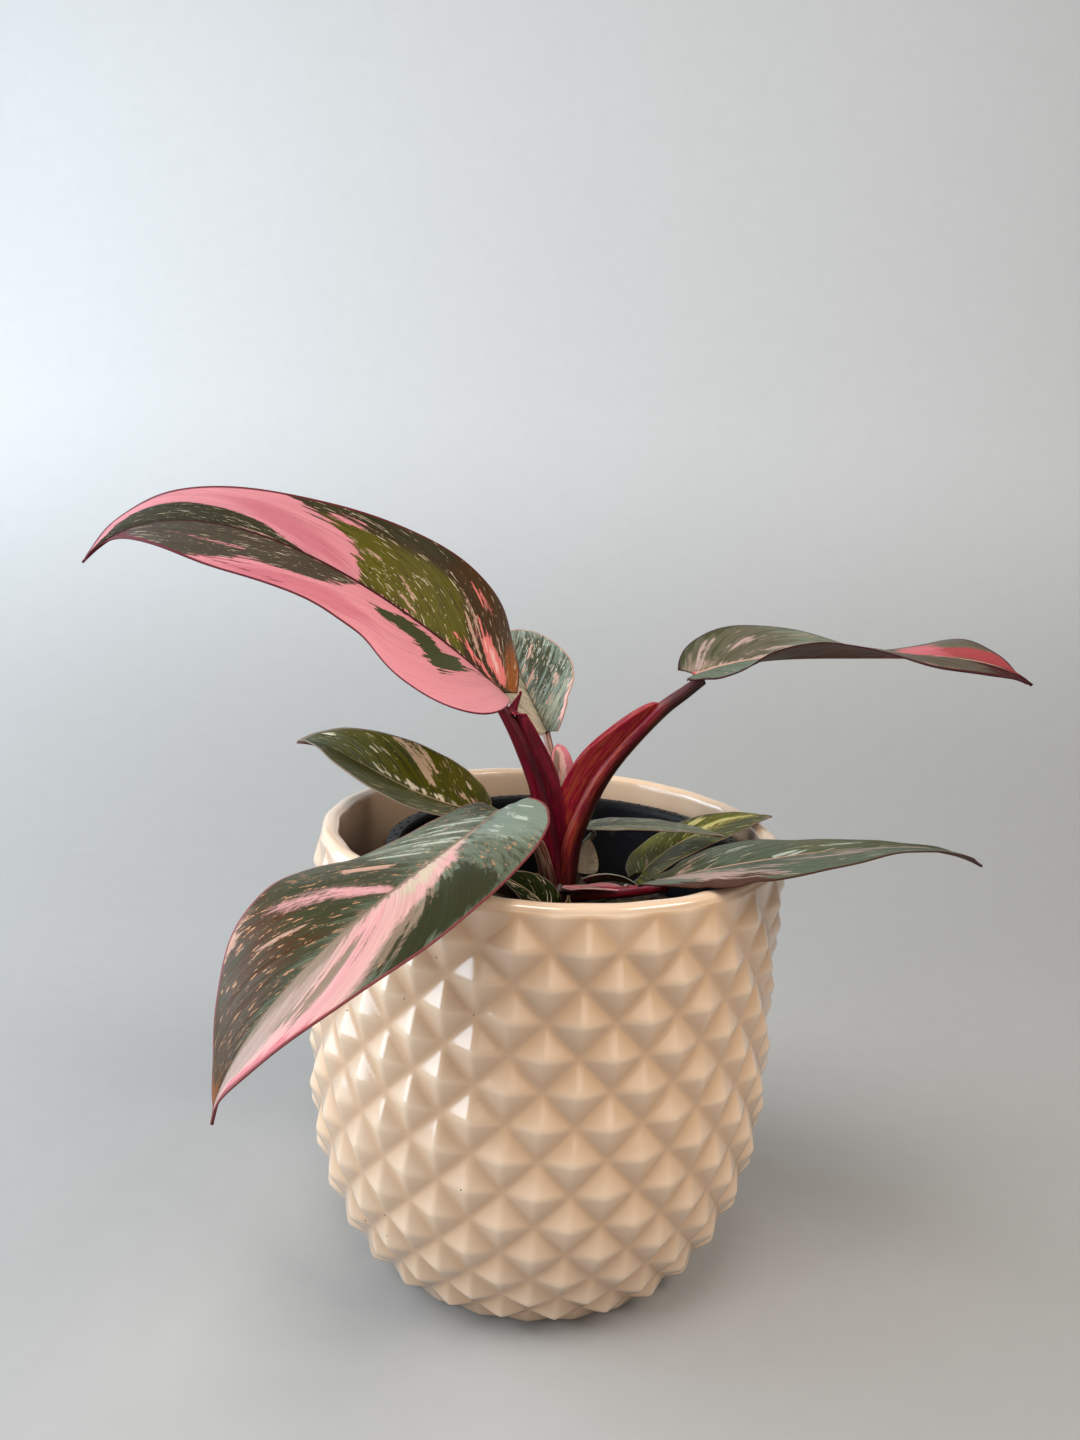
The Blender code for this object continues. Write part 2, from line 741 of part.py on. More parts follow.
def blade_points(leaf):
    """The grid of points of a blade, from base to tip and from its left margin to its right."""
    rows, columns = leaf["grid"]
    along = np.linspace(0.0, 1.0, rows + 1)
    across = np.linspace(-1.0, 1.0, columns + 1)
    even = np.linspace(0.0, 1.0, MIDRIB_SAMPLES)
    length = leaf["length"]
    curves = midrib(leaf)
    grid = np.zeros((rows + 1, columns + 1, 3))
    for column, share in enumerate(across):
        half = -1.0 if share < 0 else 1.0
        reach, out = margin(leaf, half, along)
        widest = max(leaf["left"] if half < 0 else leaf["right"])
        root = length * along**VEIN_SWEEP
        x = root + (reach - root) * abs(share)
        y = out * abs(share)
        at = (x / length).clip(0.0, 1.0)
        point, tangent, side, up = (
            np.stack([np.interp(at, even, curve[:, k]) for k in range(3)], axis=1) for curve in curves
        )
        rise = np.radians(smooth_values(leaf["fold"], at) - leaf["curl"] / widest * y / 2)
        beyond = np.minimum(x, 0.0) + np.maximum(x - length, 0.0)
        grid[:, column] = (
            point
            + half * side * (y * np.cos(rise))[:, None]
            + up * (y * np.sin(rise))[:, None]
            + tangent * beyond[:, None]
        )
    return grid


def spline(route, count):
    """A Catmull-Rom curve through the route's points, read at even steps."""
    points = np.array(route)
    padded = np.vstack([2 * points[0] - points[1], points, 2 * points[-1] - points[-2]])
    spots = np.linspace(0.0, len(points) - 1 - 1e-9, count)
    curve = []
    for spot in spots:
        index = int(spot)
        t = spot - index
        before, start, end, after = padded[index : index + 4]
        curve.append(
            0.5 * (2 * start + (end - before) * t + (2 * before - 5 * start + 4 * end - after) * t**2
                   + (3 * start - before - 3 * end + after) * t**3)
        )
    return np.array(curve)


def sheath_points(sheath):
    """The grid of a petiole's winged sheath: a trough along a route, closing to a point."""
    rows, columns = sheath["grid"]
    along = np.linspace(0.0, 1.0, rows + 1)
    line = spline(sheath["route"], rows + 1)
    tangent = np.gradient(line, axis=0)
    tangent /= np.linalg.norm(tangent, axis=1)[:, None]
    side, up = side_and_up(tangent, np.zeros(rows + 1))
    width = smooth_values(sheath["half_width"], along)
    width *= np.maximum(np.sin(math.pi * (SHEATH_START + (1 - SHEATH_START) * along)), 0.0) ** SHEATH_ROUND
    width = np.maximum(width, TIP_HALF_WIDTH)
    grid = np.zeros((rows + 1, columns + 1, 3))
    for column, share in enumerate(np.linspace(-1.0, 1.0, columns + 1)):
        y = width * abs(share)
        rise = np.radians(smooth_values(sheath["fold"], along) - sheath["curl"] * abs(share) / 2)
        sign = -1.0 if share < 0 else 1.0
        grid[:, column] = (
            line + sign * side * (y * np.cos(rise))[:, None] + up * (y * np.sin(rise))[:, None]
        )
    return grid


def sheet_object(name, points, thickness, collection, material):
    """A curved sheet of the given thickness through a grid of points."""
    rows, columns = points.shape[0] - 1, points.shape[1] - 1
    bpy.ops.mesh.primitive_grid_add(x_subdivisions=columns, y_subdivisions=rows, size=2.0)
    obj = bpy.context.object
    obj.name = name
    for vert in obj.data.vertices:
        row = round((vert.co.y + 1.0) / 2.0 * rows)
        column = round((vert.co.x + 1.0) / 2.0 * columns)
        vert.co = points[row, column]
    for owner in list(obj.users_collection):
        owner.objects.unlink(obj)
    collection.objects.link(obj)
    obj.data.materials.clear()
    obj.data.materials.append(bpy.data.materials[material])
    split = obj.modifiers.new("triangles", "TRIANGULATE")
    split.quad_method = "FIXED"
    thick = obj.modifiers.new("thickness", "SOLIDIFY")
    thick.thickness = thickness
    thick.offset = 0.0
    obj.data.shade_smooth()
    return obj


def tube_object(name, route, radii, collection):
    """A closed tube along a route, with its radius eased from one end to the other."""
    thick = radii[0] > THICK_STALK
    samples = THICK_SAMPLES if thick else THIN_SAMPLES
    curve = bpy.data.curves.new(name, "CURVE")
    curve.dimensions = "3D"
    curve.bevel_depth = 1.0
    curve.bevel_resolution = THICK_BEVEL_RESOLUTION if thick else THIN_BEVEL_RESOLUTION
    curve.use_fill_caps = True
    line = spline(route, samples)
    radius = smooth_values(radii, np.linspace(0.0, 1.0, samples))
    strand = curve.splines.new("POLY")
    strand.points.add(samples - 1)
    for point, centre, size in zip(strand.points, line, radius):
        point.co = (*centre, 1.0)
        point.radius = size
    guide = bpy.data.objects.new(name + "_route", curve)
    bpy.context.scene.collection.objects.link(guide)
    mesh = evaluated_mesh(guide)
    bpy.data.objects.remove(guide, do_unlink=True)
    return place(name, mesh, collection, "burgundy")


def petiole_route(leaf):
    """The stalk's route, with its end seated just under the base of the blade."""
    points, tangent, _, up = midrib(leaf)
    drop = BLADE_THICKNESS / 2 + GAP + leaf["stalk"][-1]
    seat = points[0] + tangent[0] * PETIOLE_SEAT - up[0] * drop
    return [*leaf["petiole"], tuple(seat)]


def make_stem(collection):
    """The stem with every petiole and winged sheath that grows from it, joined in one solid."""
    grown = new_collection("grown_from_stem")
    x, y = STEM_CENTRE
    stem_route = [(x, y, height) for height in STEM_HEIGHTS[:-1]]
    stem_route.append((x + STEM_LEAN, y, STEM_HEIGHTS[-1]))
    stem_radii = (STEM_RADIUS, STEM_RADIUS, STEM_RADIUS, STEM_TOP_RADIUS)
    stem = tube_object("stem", stem_route, stem_radii, collection)
    for name, leaf in LEAVES.items():
        tube_object(name + "_petiole", petiole_route(leaf), leaf["stalk"], grown)
    for name, sheath in SHEATHS.items():
        sheet_object(name, sheath_points(sheath), SHEATH_THICKNESS, grown, "burgundy")
    join = stem.modifiers.new("grow", "BOOLEAN")
    join.operation = "UNION"
    join.operand_type = "COLLECTION"
    join.collection = grown
    join.solver = "MANIFOLD"
    mesh = evaluated_mesh(stem)
    keep_outer_skin(mesh)
    for obj in list(grown.objects):
        bpy.data.objects.remove(obj, do_unlink=True)
    bpy.data.collections.remove(grown)
    bpy.data.objects.remove(stem, do_unlink=True)
    place("stem", mesh, collection, "burgundy")


def make_leaves(collection):
    for name, leaf in {**LEAVES, **CLASPING_LEAVES}.items():
        colour = LEAF_COLOURS.get(name, "leaf_green")
        sheet_object(name, blade_points(leaf), BLADE_THICKNESS, collection, colour)


def main():
    clear_scene()
    for name in COLOURS:
        make_material(name)
    plant = new_collection("pink_princess_philodendron")
    cutters = new_collection("cutters")
    make_cover_pot(plant)
    make_nursery_pot(plant, cutters)
    make_soil(plant, cutters)
    make_stem(plant)
    make_leaves(plant)


main()
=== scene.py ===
"""The looks of a variegated philodendron in its nursery pot and diamond-relief cover pot.

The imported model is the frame. Every node is replaced by a finer piece of the same form: the leaf
blades, petioles and sheaths follow the same named values as the solids, and their markings are
patches of colour laid out along the veins, with ragged edges from noise that runs with the veins.
"""

import math
import random

import bmesh
import bpy
import numpy as np
from mathutils import Matrix, Vector


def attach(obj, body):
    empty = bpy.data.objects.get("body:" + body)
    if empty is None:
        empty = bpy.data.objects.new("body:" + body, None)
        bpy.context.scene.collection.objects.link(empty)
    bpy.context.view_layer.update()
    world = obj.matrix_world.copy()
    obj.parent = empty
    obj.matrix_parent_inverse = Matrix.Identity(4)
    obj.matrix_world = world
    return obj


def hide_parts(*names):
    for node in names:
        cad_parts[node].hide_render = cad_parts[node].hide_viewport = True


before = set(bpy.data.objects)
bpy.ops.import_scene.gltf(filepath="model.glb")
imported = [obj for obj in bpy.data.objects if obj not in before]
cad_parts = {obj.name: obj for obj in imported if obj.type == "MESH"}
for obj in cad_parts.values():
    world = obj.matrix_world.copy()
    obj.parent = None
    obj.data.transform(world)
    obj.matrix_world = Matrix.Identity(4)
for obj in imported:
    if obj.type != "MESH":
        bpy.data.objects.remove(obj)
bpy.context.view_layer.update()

MM = 0.001
GAP = 0.0003

# The camera, as it stood for the photo: its place, where it points (degrees), and its focal length (mm)
CAMERA_PLACE = (0.0, -0.343, 0.2408)
CAMERA_YAW = -0.89
CAMERA_PITCH = 12.05
CAMERA_ROLL = 3.19
CAMERA_SENSOR = 36.0
CAMERA_FOCAL = 28.925

# Each light's place, size, power and colour, all aimed at one point: a large cool window and warm fills
LIGHT_TARGET = (0.0, 0.0, 0.10)
LIGHTS = {
    "window": ((-0.80, -0.06, 0.36), (1.2, 1.0), 19.5, (0.76, 0.88, 1.0)),
    "room": ((0.45, -1.0, 0.45), (1.0, 0.7), 2.0, (1.0, 0.93, 0.86)),
    "overhead": ((-0.10, -0.42, 1.15), (0.45, 0.45), 6.6, (1.0, 0.96, 0.92)),
    "lamp": ((0.60, -0.28, 0.80), (0.45, 0.45), 5.0, (1.0, 0.95, 0.87)),
}

# Cover pot, as in the solids
POT_HEIGHT = 0.135
POT_RADIUS = 0.070
POT_WALL = 0.0055
POT_FLOOR = 0.0085
POT_FOOT_RADIUS = 0.0495
BELLY_HEIGHT = 0.068
BELLY_CURVE = 2.9
FOOT_PULL = 0.28
WAIST = 0.0008
RIM_CURVE = ((0.0054, 0.0022), (0.0044, 0.0005), (0.0027, 0.0), (0.0007, 0.0006))
DIAMONDS_ROUND = 24
FIRST_ROW_HEIGHT = 0.1228
ROW_STEP = 0.0099
RELIEF_ROWS = 14
LOWEST_ROW_HEIGHT = 0.001
RELIEF = 0.0029
RIM_RELIEF = 0.0004
FOOT_RELIEF = 0.0010
LATTICE_TURN = math.radians(1.46)

# How finely the cover pot is made, and how soft the glaze leaves its diamonds
STEPS_PER_DIAMOND = 18
STEPS_PER_ROW = 9
RIDGE_SHARPNESS = 14.0
PEAK_SOFTNESS = 0.08
VALLEY_SOFTNESS = 0.05
INNER_FACETS = 0.00022
RIM_WAVE = 0.00012
RIM_DEPTH = 0.012
FLOOR_ROUND = 0.006
FLOOR_CENTRE = 0.010
FOOT_EDGE = 0.0006
FOOT_RING_WIDTH = 0.0045
FOOT_RING_DEPTH = 0.0009

# Nursery pot and soil, as in the solids
NURSERY_CENTRE = (0.0059, -0.0007)
NURSERY_TOP = 0.129
NURSERY_RIM_RADIUS = 0.0565
NURSERY_SKIRT = 0.010
NURSERY_SHOULDER_RADIUS = 0.0534
NURSERY_BASE_RADIUS = 0.041
NURSERY_WALL = 0.001
NURSERY_RIM_WIDTH = 0.0042
NURSERY_STEPS = 144
DRAIN_HOLES = 5
DRAIN_HOLE_RADIUS = 0.0045
DRAIN_RING_RADIUS = 0.028
DRAIN_CUT = 0.004
RIM_DOTS = 96
RIM_DOT_RADIUS = 0.0005
RIM_DOT_ROWS = (-0.0006, 0.0008)
SOIL_TOP = 0.103
SOIL_EDGE_DROP = 0.0008
SOIL_SHOULDER = 0.006
SOIL_CLEARANCE = 0.0009
SOIL_ROUGHNESS = 0.0011
CRUMB_INSET = 0.003
STEM_CENTRE = (0.004, 0.0)
STEM_FOOT = 0.085
STEM_RADIUS = 0.0055
STEM_KNOTS = (0.1055, 0.1105, 0.1150)
KNOT_SWELL = 0.00035
KNOT_SPREAD = 0.0005

# Leaf blades, as in the solids
BLADE_THICKNESS = 0.0008
EDGE_THICKNESS = 0.00032
MARGIN_BASE = 0.72
MARGIN_TIP = 0.8
SINUS_SHARE = 0.28
SINUS_FADE = 0.06
VEIN_SWEEP = 1.15
TIP_HALF_WIDTH = 0.0004
MIDRIB_SAMPLES = 161
PETIOLE_SEAT = 0.001
SHEATH_THICKNESS = 0.0009
SHEATH_START = 0.12
SHEATH_ROUND = 0.45

# Fine relief of a blade 10 cm long: its ruffled margin, puffed veins, and midrib
MARGIN_RUFFLE = 0.00028
VEIN_PUFF = 0.00009
MIDRIB_GROOVE = 0.00022
MIDRIB_RIDGE = 0.0006

# Each blade: where its base is, its length, half widths, how far its lobes reach behind the base, where
# its midrib heads and how it pitches and rolls (degrees), how far its halves fold up and curl (degrees),
# and its stalk's radii and route. Several values lie at even steps from base to tip.
LEAVES = {
    "leaf_upper_left": dict(
        base=(-0.0175, -0.0036, 0.1761), length=0.1496,
        left=(0.0262, 0.0517, 0.0168, 0.0204, 0.0071, 0.0268),
        right=(0.0255, 0.0349, 0.0194, 0.0209, 0.0265), lobes=(0.0003, 0.0051),
        heading=(187.7, 175.6, 168.4, 168.4), pitch=(42.7, 28.4, 5.6, -47.8),
        roll=(8.7, 44.2, 59.5, 25.8), fold=(15.7, 9.1), curl=8.5, stalk=(0.0034, 0.0027, 0.0016),
        petiole=((0.0032, 0.0, 0.11), (0.0005, -0.0004, 0.128), (-0.0046, -0.0012, 0.1467),
                 (-0.0101, -0.0024, 0.1598), (-0.0147, -0.003, 0.1682)),
    ),
    "leaf_upper_right": dict(
        base=(0.0405, -0.0028, 0.1848), length=0.0977, left=(0.0218, 0.0245, 0.0272, 0.0201),
        right=(0.0148, 0.0132, 0.0189, 0.0157), lobes=(0.0053, 0.003), heading=(-8.0, -41.0, -42.0, -7.0),
        pitch=(26.5, 12.0, 8.5, 4.5, -35.5), roll=(-15.0, -7.5, 9.5, -8.5, -1.0),
        fold=(17.0, 11.5, 15.0, 10.0, -9.0), curl=16.0, stalk=(0.0036, 0.0028, 0.0017),
        petiole=((0.005, 0.0, 0.11), (0.0063, 0.0, 0.129), (0.0096, -0.0004, 0.1404),
                 (0.0141, -0.0009, 0.151), (0.0207, -0.0014, 0.1611), (0.0304, -0.002, 0.1729),
                 (0.0374, -0.0026, 0.1792)),
    ),
    "leaf_upper_back": dict(
        base=(-0.0034, 0.026, 0.1582), length=0.0677, left=(0.0159,),
        right=(0.018, 0.0192, 0.0197, 0.0183), lobes=(0.0045, 0.0052), heading=(110.6, 110.6, 96.6, 89.6),
        pitch=(26.7, 25.7, 21.5, 4.7), roll=(20.9, 10.4, 6.0, 2.0), fold=(54.6, 11.5), curl=4.3,
        stalk=(0.0022, 0.0016, 0.0013),
        petiole=((0.004, 0.003, 0.1105), (0.0039, 0.0098, 0.116), (0.0034, 0.013, 0.124),
                 (0.0014, 0.0168, 0.138), (-0.0009, 0.0212, 0.1495)),
    ),
    "leaf_left": dict(
        base=(-0.0191, 0.0057, 0.1358), length=0.0741, left=(0.017, 0.0181, 0.0182, 0.0167),
        right=(0.0172, 0.0172, 0.0174, 0.018), lobes=(0.0037, 0.0009),
        heading=(196.3, 166.5, 149.3, 151.8), pitch=(4.4, 16.9, 12.8, -9.1), roll=(11.6, 15.5, 16.5, 8.0),
        fold=(19.4, 40.7), curl=9.6, stalk=(0.0022, 0.0017, 0.0013),
        petiole=((0.003, 0.0015, 0.112), (-0.004, 0.0034, 0.126), (-0.012, 0.0048, 0.1325)),
    ),
    "leaf_front_left": dict(
        base=(-0.0151, -0.0265, 0.1463), length=0.128, left=(0.0245, 0.0233, 0.025, 0.0274),
        right=(0.0334, 0.0265, 0.0405, 0.0326), lobes=(0.0073, 0.0031),
        heading=(237.2, 249.1, 229.3, 198.2), pitch=(-16.9, -4.0, -30.0, -81.5),
        roll=(-11.5, -6.4, 7.3, -10.0), fold=(6.0, 9.2), curl=27.8, stalk=(0.0026, 0.0019, 0.0015),
        petiole=((0.002, -0.002, 0.11), (-0.0032, -0.0084, 0.13), (-0.0102, -0.019, 0.1412)),
    ),
    "leaf_right": dict(
        base=(0.0318, -0.0308, 0.1294), length=0.1026, left=(0.0191, 0.0185, 0.0176, 0.0179),
        right=(0.0189, 0.0206, 0.0191, 0.0179), lobes=(0.0046, 0.0048), heading=(-18.3, 9.0, 17.0, 25.5),
        pitch=(25.4, 9.3, -1.4, -29.1), roll=(8.3, 4.2, 10.9, -3.1), fold=(12.4, 4.8), curl=16.3,
        stalk=(0.0024, 0.002, 0.0014),
        petiole=((0.006, -0.0025, 0.11), (0.012, -0.011, 0.117), (0.022, -0.0215, 0.1222)),
    ),
    "leaf_right_back": dict(
        base=(0.0301, 0.0062, 0.1193), length=0.0479, left=(0.0125, 0.012, 0.0114, 0.0112),
        right=(0.0123, 0.0126, 0.0129, 0.012), lobes=(0.005, 0.0048), heading=(11.0, 10.3, 20.3, 27.9),
        pitch=(50.4, 30.0, 12.8, -6.6), roll=(-5.2, -3.2, -3.9, 5.8), fold=(15.3, 4.5), curl=13.5,
        stalk=(0.0018, 0.0014, 0.0012),
        petiole=((0.007, 0.001, 0.108), (0.016, 0.0035, 0.11), (0.0255, 0.0052, 0.1135)),
    ),
    "leaf_narrow_back": dict(
        base=(0.0123, 0.0072, 0.1321), length=0.0427, left=(0.0084, 0.0082, 0.0079, 0.0076),
        right=(0.0036, 0.0086, 0.0082, 0.008), lobes=(0.0032, 0.003), heading=(-18.0,),
        pitch=(13.8, 7.9, 2.2, -0.5), roll=(0.2, 2.5, 2.6, 5.7), fold=(14.3, 9.9), curl=12.9,
        stalk=(0.0016, 0.0013, 0.0011),
        petiole=((0.0065, 0.003, 0.112), (0.0096, 0.007, 0.1185), (0.0104, 0.0084, 0.1252)),
    ),
    "leaf_front_dark": dict(
        base=(0.0016, -0.01, 0.1092), length=0.0255, left=(0.0048,), right=(0.0068,),
        lobes=(0.002, 0.002), heading=(216.0, 212.0), pitch=(52.0, 26.0), roll=(72.0,), fold=(14.0,),
        curl=14.0, stalk=(0.0016, 0.0013, 0.0011),
        petiole=((0.0032, -0.003, 0.106), (0.0032, -0.0064, 0.1066)),
    ),
    "leaf_front_olive": dict(
        base=(-0.01, -0.018, 0.1155), length=0.025, left=(0.0072,), right=(0.0072,),
        lobes=(0.0015, 0.0015), heading=(196.0, 206.0), pitch=(22.0, -8.0), roll=(34.0,), fold=(12.0,),
        curl=12.0, stalk=(0.0015, 0.0012, 0.001),
        petiole=((0.0, -0.0015, 0.1055), (-0.0045, -0.007, 0.1062), (-0.008, -0.013, 0.1092)),
    ),
    "leaf_low_right": dict(
        base=(0.015, -0.0065, 0.11), length=0.036, left=(0.008,), right=(0.008,), lobes=(0.0015, 0.0015),
        heading=(-20.0, -8.0), pitch=(18.0, -4.0), roll=(6.0,), fold=(12.0,), curl=14.0,
        stalk=(0.0014, 0.0011, 0.001),
        petiole=((0.007, -0.002, 0.106), (0.0105, -0.0045, 0.1066), (0.013, -0.0058, 0.1074)),
    ),
    "leaf_curled": dict(
        base=(0.0118, -0.0036, 0.1186), length=0.0165, left=(0.0042,), right=(0.005,),
        lobes=(0.001, 0.001), heading=(-2.0, -10.0), pitch=(26.0, -28.0), roll=(34.0,), fold=(8.0,),
        curl=26.0, stalk=(0.0014, 0.0011, 0.001),
        petiole=((0.006, -0.001, 0.112), (0.0092, -0.0026, 0.1142)),
    ),
    "leaf_new": dict(
        base=(0.0031, 0.0068, 0.119), length=0.0405, left=(0.0046, 0.0056, 0.008, 0.014),
        right=(0.0046, 0.005, 0.0072, 0.0135), lobes=(0.0, 0.0), heading=(106.0,),
        pitch=(84.0, 86.0, 83.0, 15.0), roll=(0.0,), fold=(22.0,), curl=-18.0,
    ),
    "leaf_bud_front": dict(
        base=(0.0062, -0.0063, 0.1045), length=0.0118, left=(0.0022,), right=(0.0022,), lobes=(0.0, 0.0),
        heading=(275.0,), pitch=(66.0, 78.0), roll=(180.0,), fold=(28.0,), curl=-10.0,
    ),
    "dried_sheath": dict(
        base=(0.012, 0.0045, 0.118), length=0.0112, left=(0.004,), right=(0.0038,), lobes=(0.0, 0.0),
        heading=(84.0,), pitch=(89.0, 85.0), roll=(0.0,), fold=(10.0,), curl=-20.0,
    ),
}

# The winged sheaths, by the same kinds of values
SHEATHS = {
    "sheath_upper_left": dict(
        half_width=(0.004, 0.0062, 0.0058, 0.001), fold=(50.0, 64.0, 66.0), curl=-30.0,
        route=((0.0022, -0.0002, 0.116), (0.0006, -0.0006, 0.128), (-0.0042, -0.0012, 0.1467),
               (-0.0099, -0.0024, 0.1598), (-0.0125, -0.0026, 0.169), (-0.0114, -0.0024, 0.1765)),
    ),
    "sheath_upper_right": dict(
        half_width=(0.006, 0.0086, 0.0098, 0.01), fold=(48.0, 60.0, 24.0), curl=-36.0,
        route=((0.0052, 0.0, 0.114), (0.0066, 0.0, 0.129), (0.0096, -0.0004, 0.1404),
               (0.0139, -0.0009, 0.1512), (0.0203, -0.0014, 0.1615), (0.03, -0.0019, 0.1752)),
    ),
    "sheath_right": dict(
        half_width=(0.0014, 0.0046, 0.005, 0.0028), fold=(20.0,), curl=10.0,
        route=((0.0046, -0.0056, 0.1166), (0.0095, -0.009, 0.1172), (0.0132, -0.0124, 0.1188),
               (0.0178, -0.0174, 0.121), (0.0234, -0.023, 0.123)),
    ),
}

# Colours as they look on a screen, 0 to 255
PALETTE = {
    "pink": (200, 124, 128), "soft_pink": (196, 150, 142), "pale_pink": (224, 172, 162),
    "rose": (206, 84, 92), "tan_pink": (178, 138, 118), "cream": (226, 204, 172), "tan": (186, 160, 118),
    "cream_yellow": (210, 196, 124), "olive": (82, 76, 4), "yellow_green": (108, 106, 28),
    "brown_olive": (50, 34, 12), "orange_brown": (142, 74, 14), "dark_green": (56, 58, 30),
    "deep_green": (34, 42, 14), "grey_green": (100, 104, 84), "blue_green": (112, 122, 106),
    "soft_green": (80, 82, 52), "pale_green": (142, 146, 124), "grey_brown": (80, 70, 58),
    "maroon": (92, 22, 30), "dark_maroon": (56, 10, 16), "black_maroon": (34, 6, 10),
    "burgundy": (114, 8, 32), "crimson": (164, 30, 40), "brick": (156, 62, 40), "ruby": (138, 16, 40),
    "beige": (186, 168, 144), "brown": (96, 60, 42), "drab": (66, 56, 42), "drab_grey": (84, 77, 58),
    "dark_olive": (44, 40, 12), "olive_green": (72, 70, 18), "moss": (54, 54, 32),
    "deep_moss": (46, 48, 28), "slate_green": (90, 98, 80), "dusty_pink": (160, 134, 122),
    "grey_tan": (130, 110, 92), "tan_cream": (174, 126, 92), "brown_maroon": (122, 58, 58),
    "red_brown": (142, 54, 56), "faded_pink": (200, 144, 142), "coral": (210, 112, 106),
    "dusk_pink": (174, 86, 92), "bronze": (66, 39, 8), "slate": (78, 86, 68), "umber": (66, 42, 10),
    "dark_brown": (66, 36, 22), "silver": (166, 170, 152), "pale_tan": (204, 168, 132),
    "deep_pink": (188, 104, 112), "old_rose": (190, 106, 110), "cherry": (90, 6, 24),
    "plum": (84, 44, 44),
}

# The skins of the stalks and of the two sides of each winged sheath, and which stalk has which
# shadow and foot say how strongly painted shade darkens a stalk's side away from the window and its foot
# near the soil.
STALK_LOOKS = {
    "stalk_dark": dict(base="cherry", lit="burgundy", dark="black_maroon", shadow=0.7),
    "stalk_red": dict(base="burgundy", lit="brick", dark="maroon", shadow=0.9, beyond=(72.0, "plum")),
    "stalk_bright": dict(base="burgundy", lit="crimson", dark="maroon"),
    "stalk_brown": dict(base="brown", lit="tan_pink", dark="maroon"),
    "stalk_green": dict(base="soft_green", lit="pale_green", dark="grey_brown"),
    "stalk_trunk": dict(base="black_maroon", lit="dark_maroon", dark="black_maroon"),
    "wing_dark": dict(base="cherry", lit="burgundy", dark="black_maroon", edge="burgundy"),
    "wing_red": dict(base="burgundy", lit="crimson", dark="cherry", edge="burgundy"),
    "wing_bright": dict(base="ruby", lit="brick", dark="burgundy", edge="crimson"),
    "wing_pink": dict(base="deep_pink", lit="dusty_pink", dark="maroon", foot=0.0),
}
WINGS = {
    "sheath_upper_left": ("wing_red", "wing_dark"), "sheath_upper_right": ("wing_bright", "wing_bright"),
    "sheath_right": ("wing_pink", "wing_pink"),
}
STALKS = {
    "leaf_upper_left": "stalk_dark", "leaf_upper_right": "stalk_red", "leaf_upper_back": "stalk_brown",
    "leaf_front_left": "stalk_brown", "leaf_narrow_back": "stalk_green", "leaf_front_dark": "stalk_green",
    "leaf_front_olive": "stalk_green", "leaf_low_right": "stalk_green", "leaf_right_back": "stalk_green",
}


def srgb(colour):
    """A palette colour as the renderer's linear values."""
    levels = []
    for level in PALETTE.get(colour, colour):
        share = level / 255
        levels.append(share / 12.92 if share <= 0.04045 else ((share + 0.055) / 1.055) ** 2.4)
    return (*levels, 1.0)


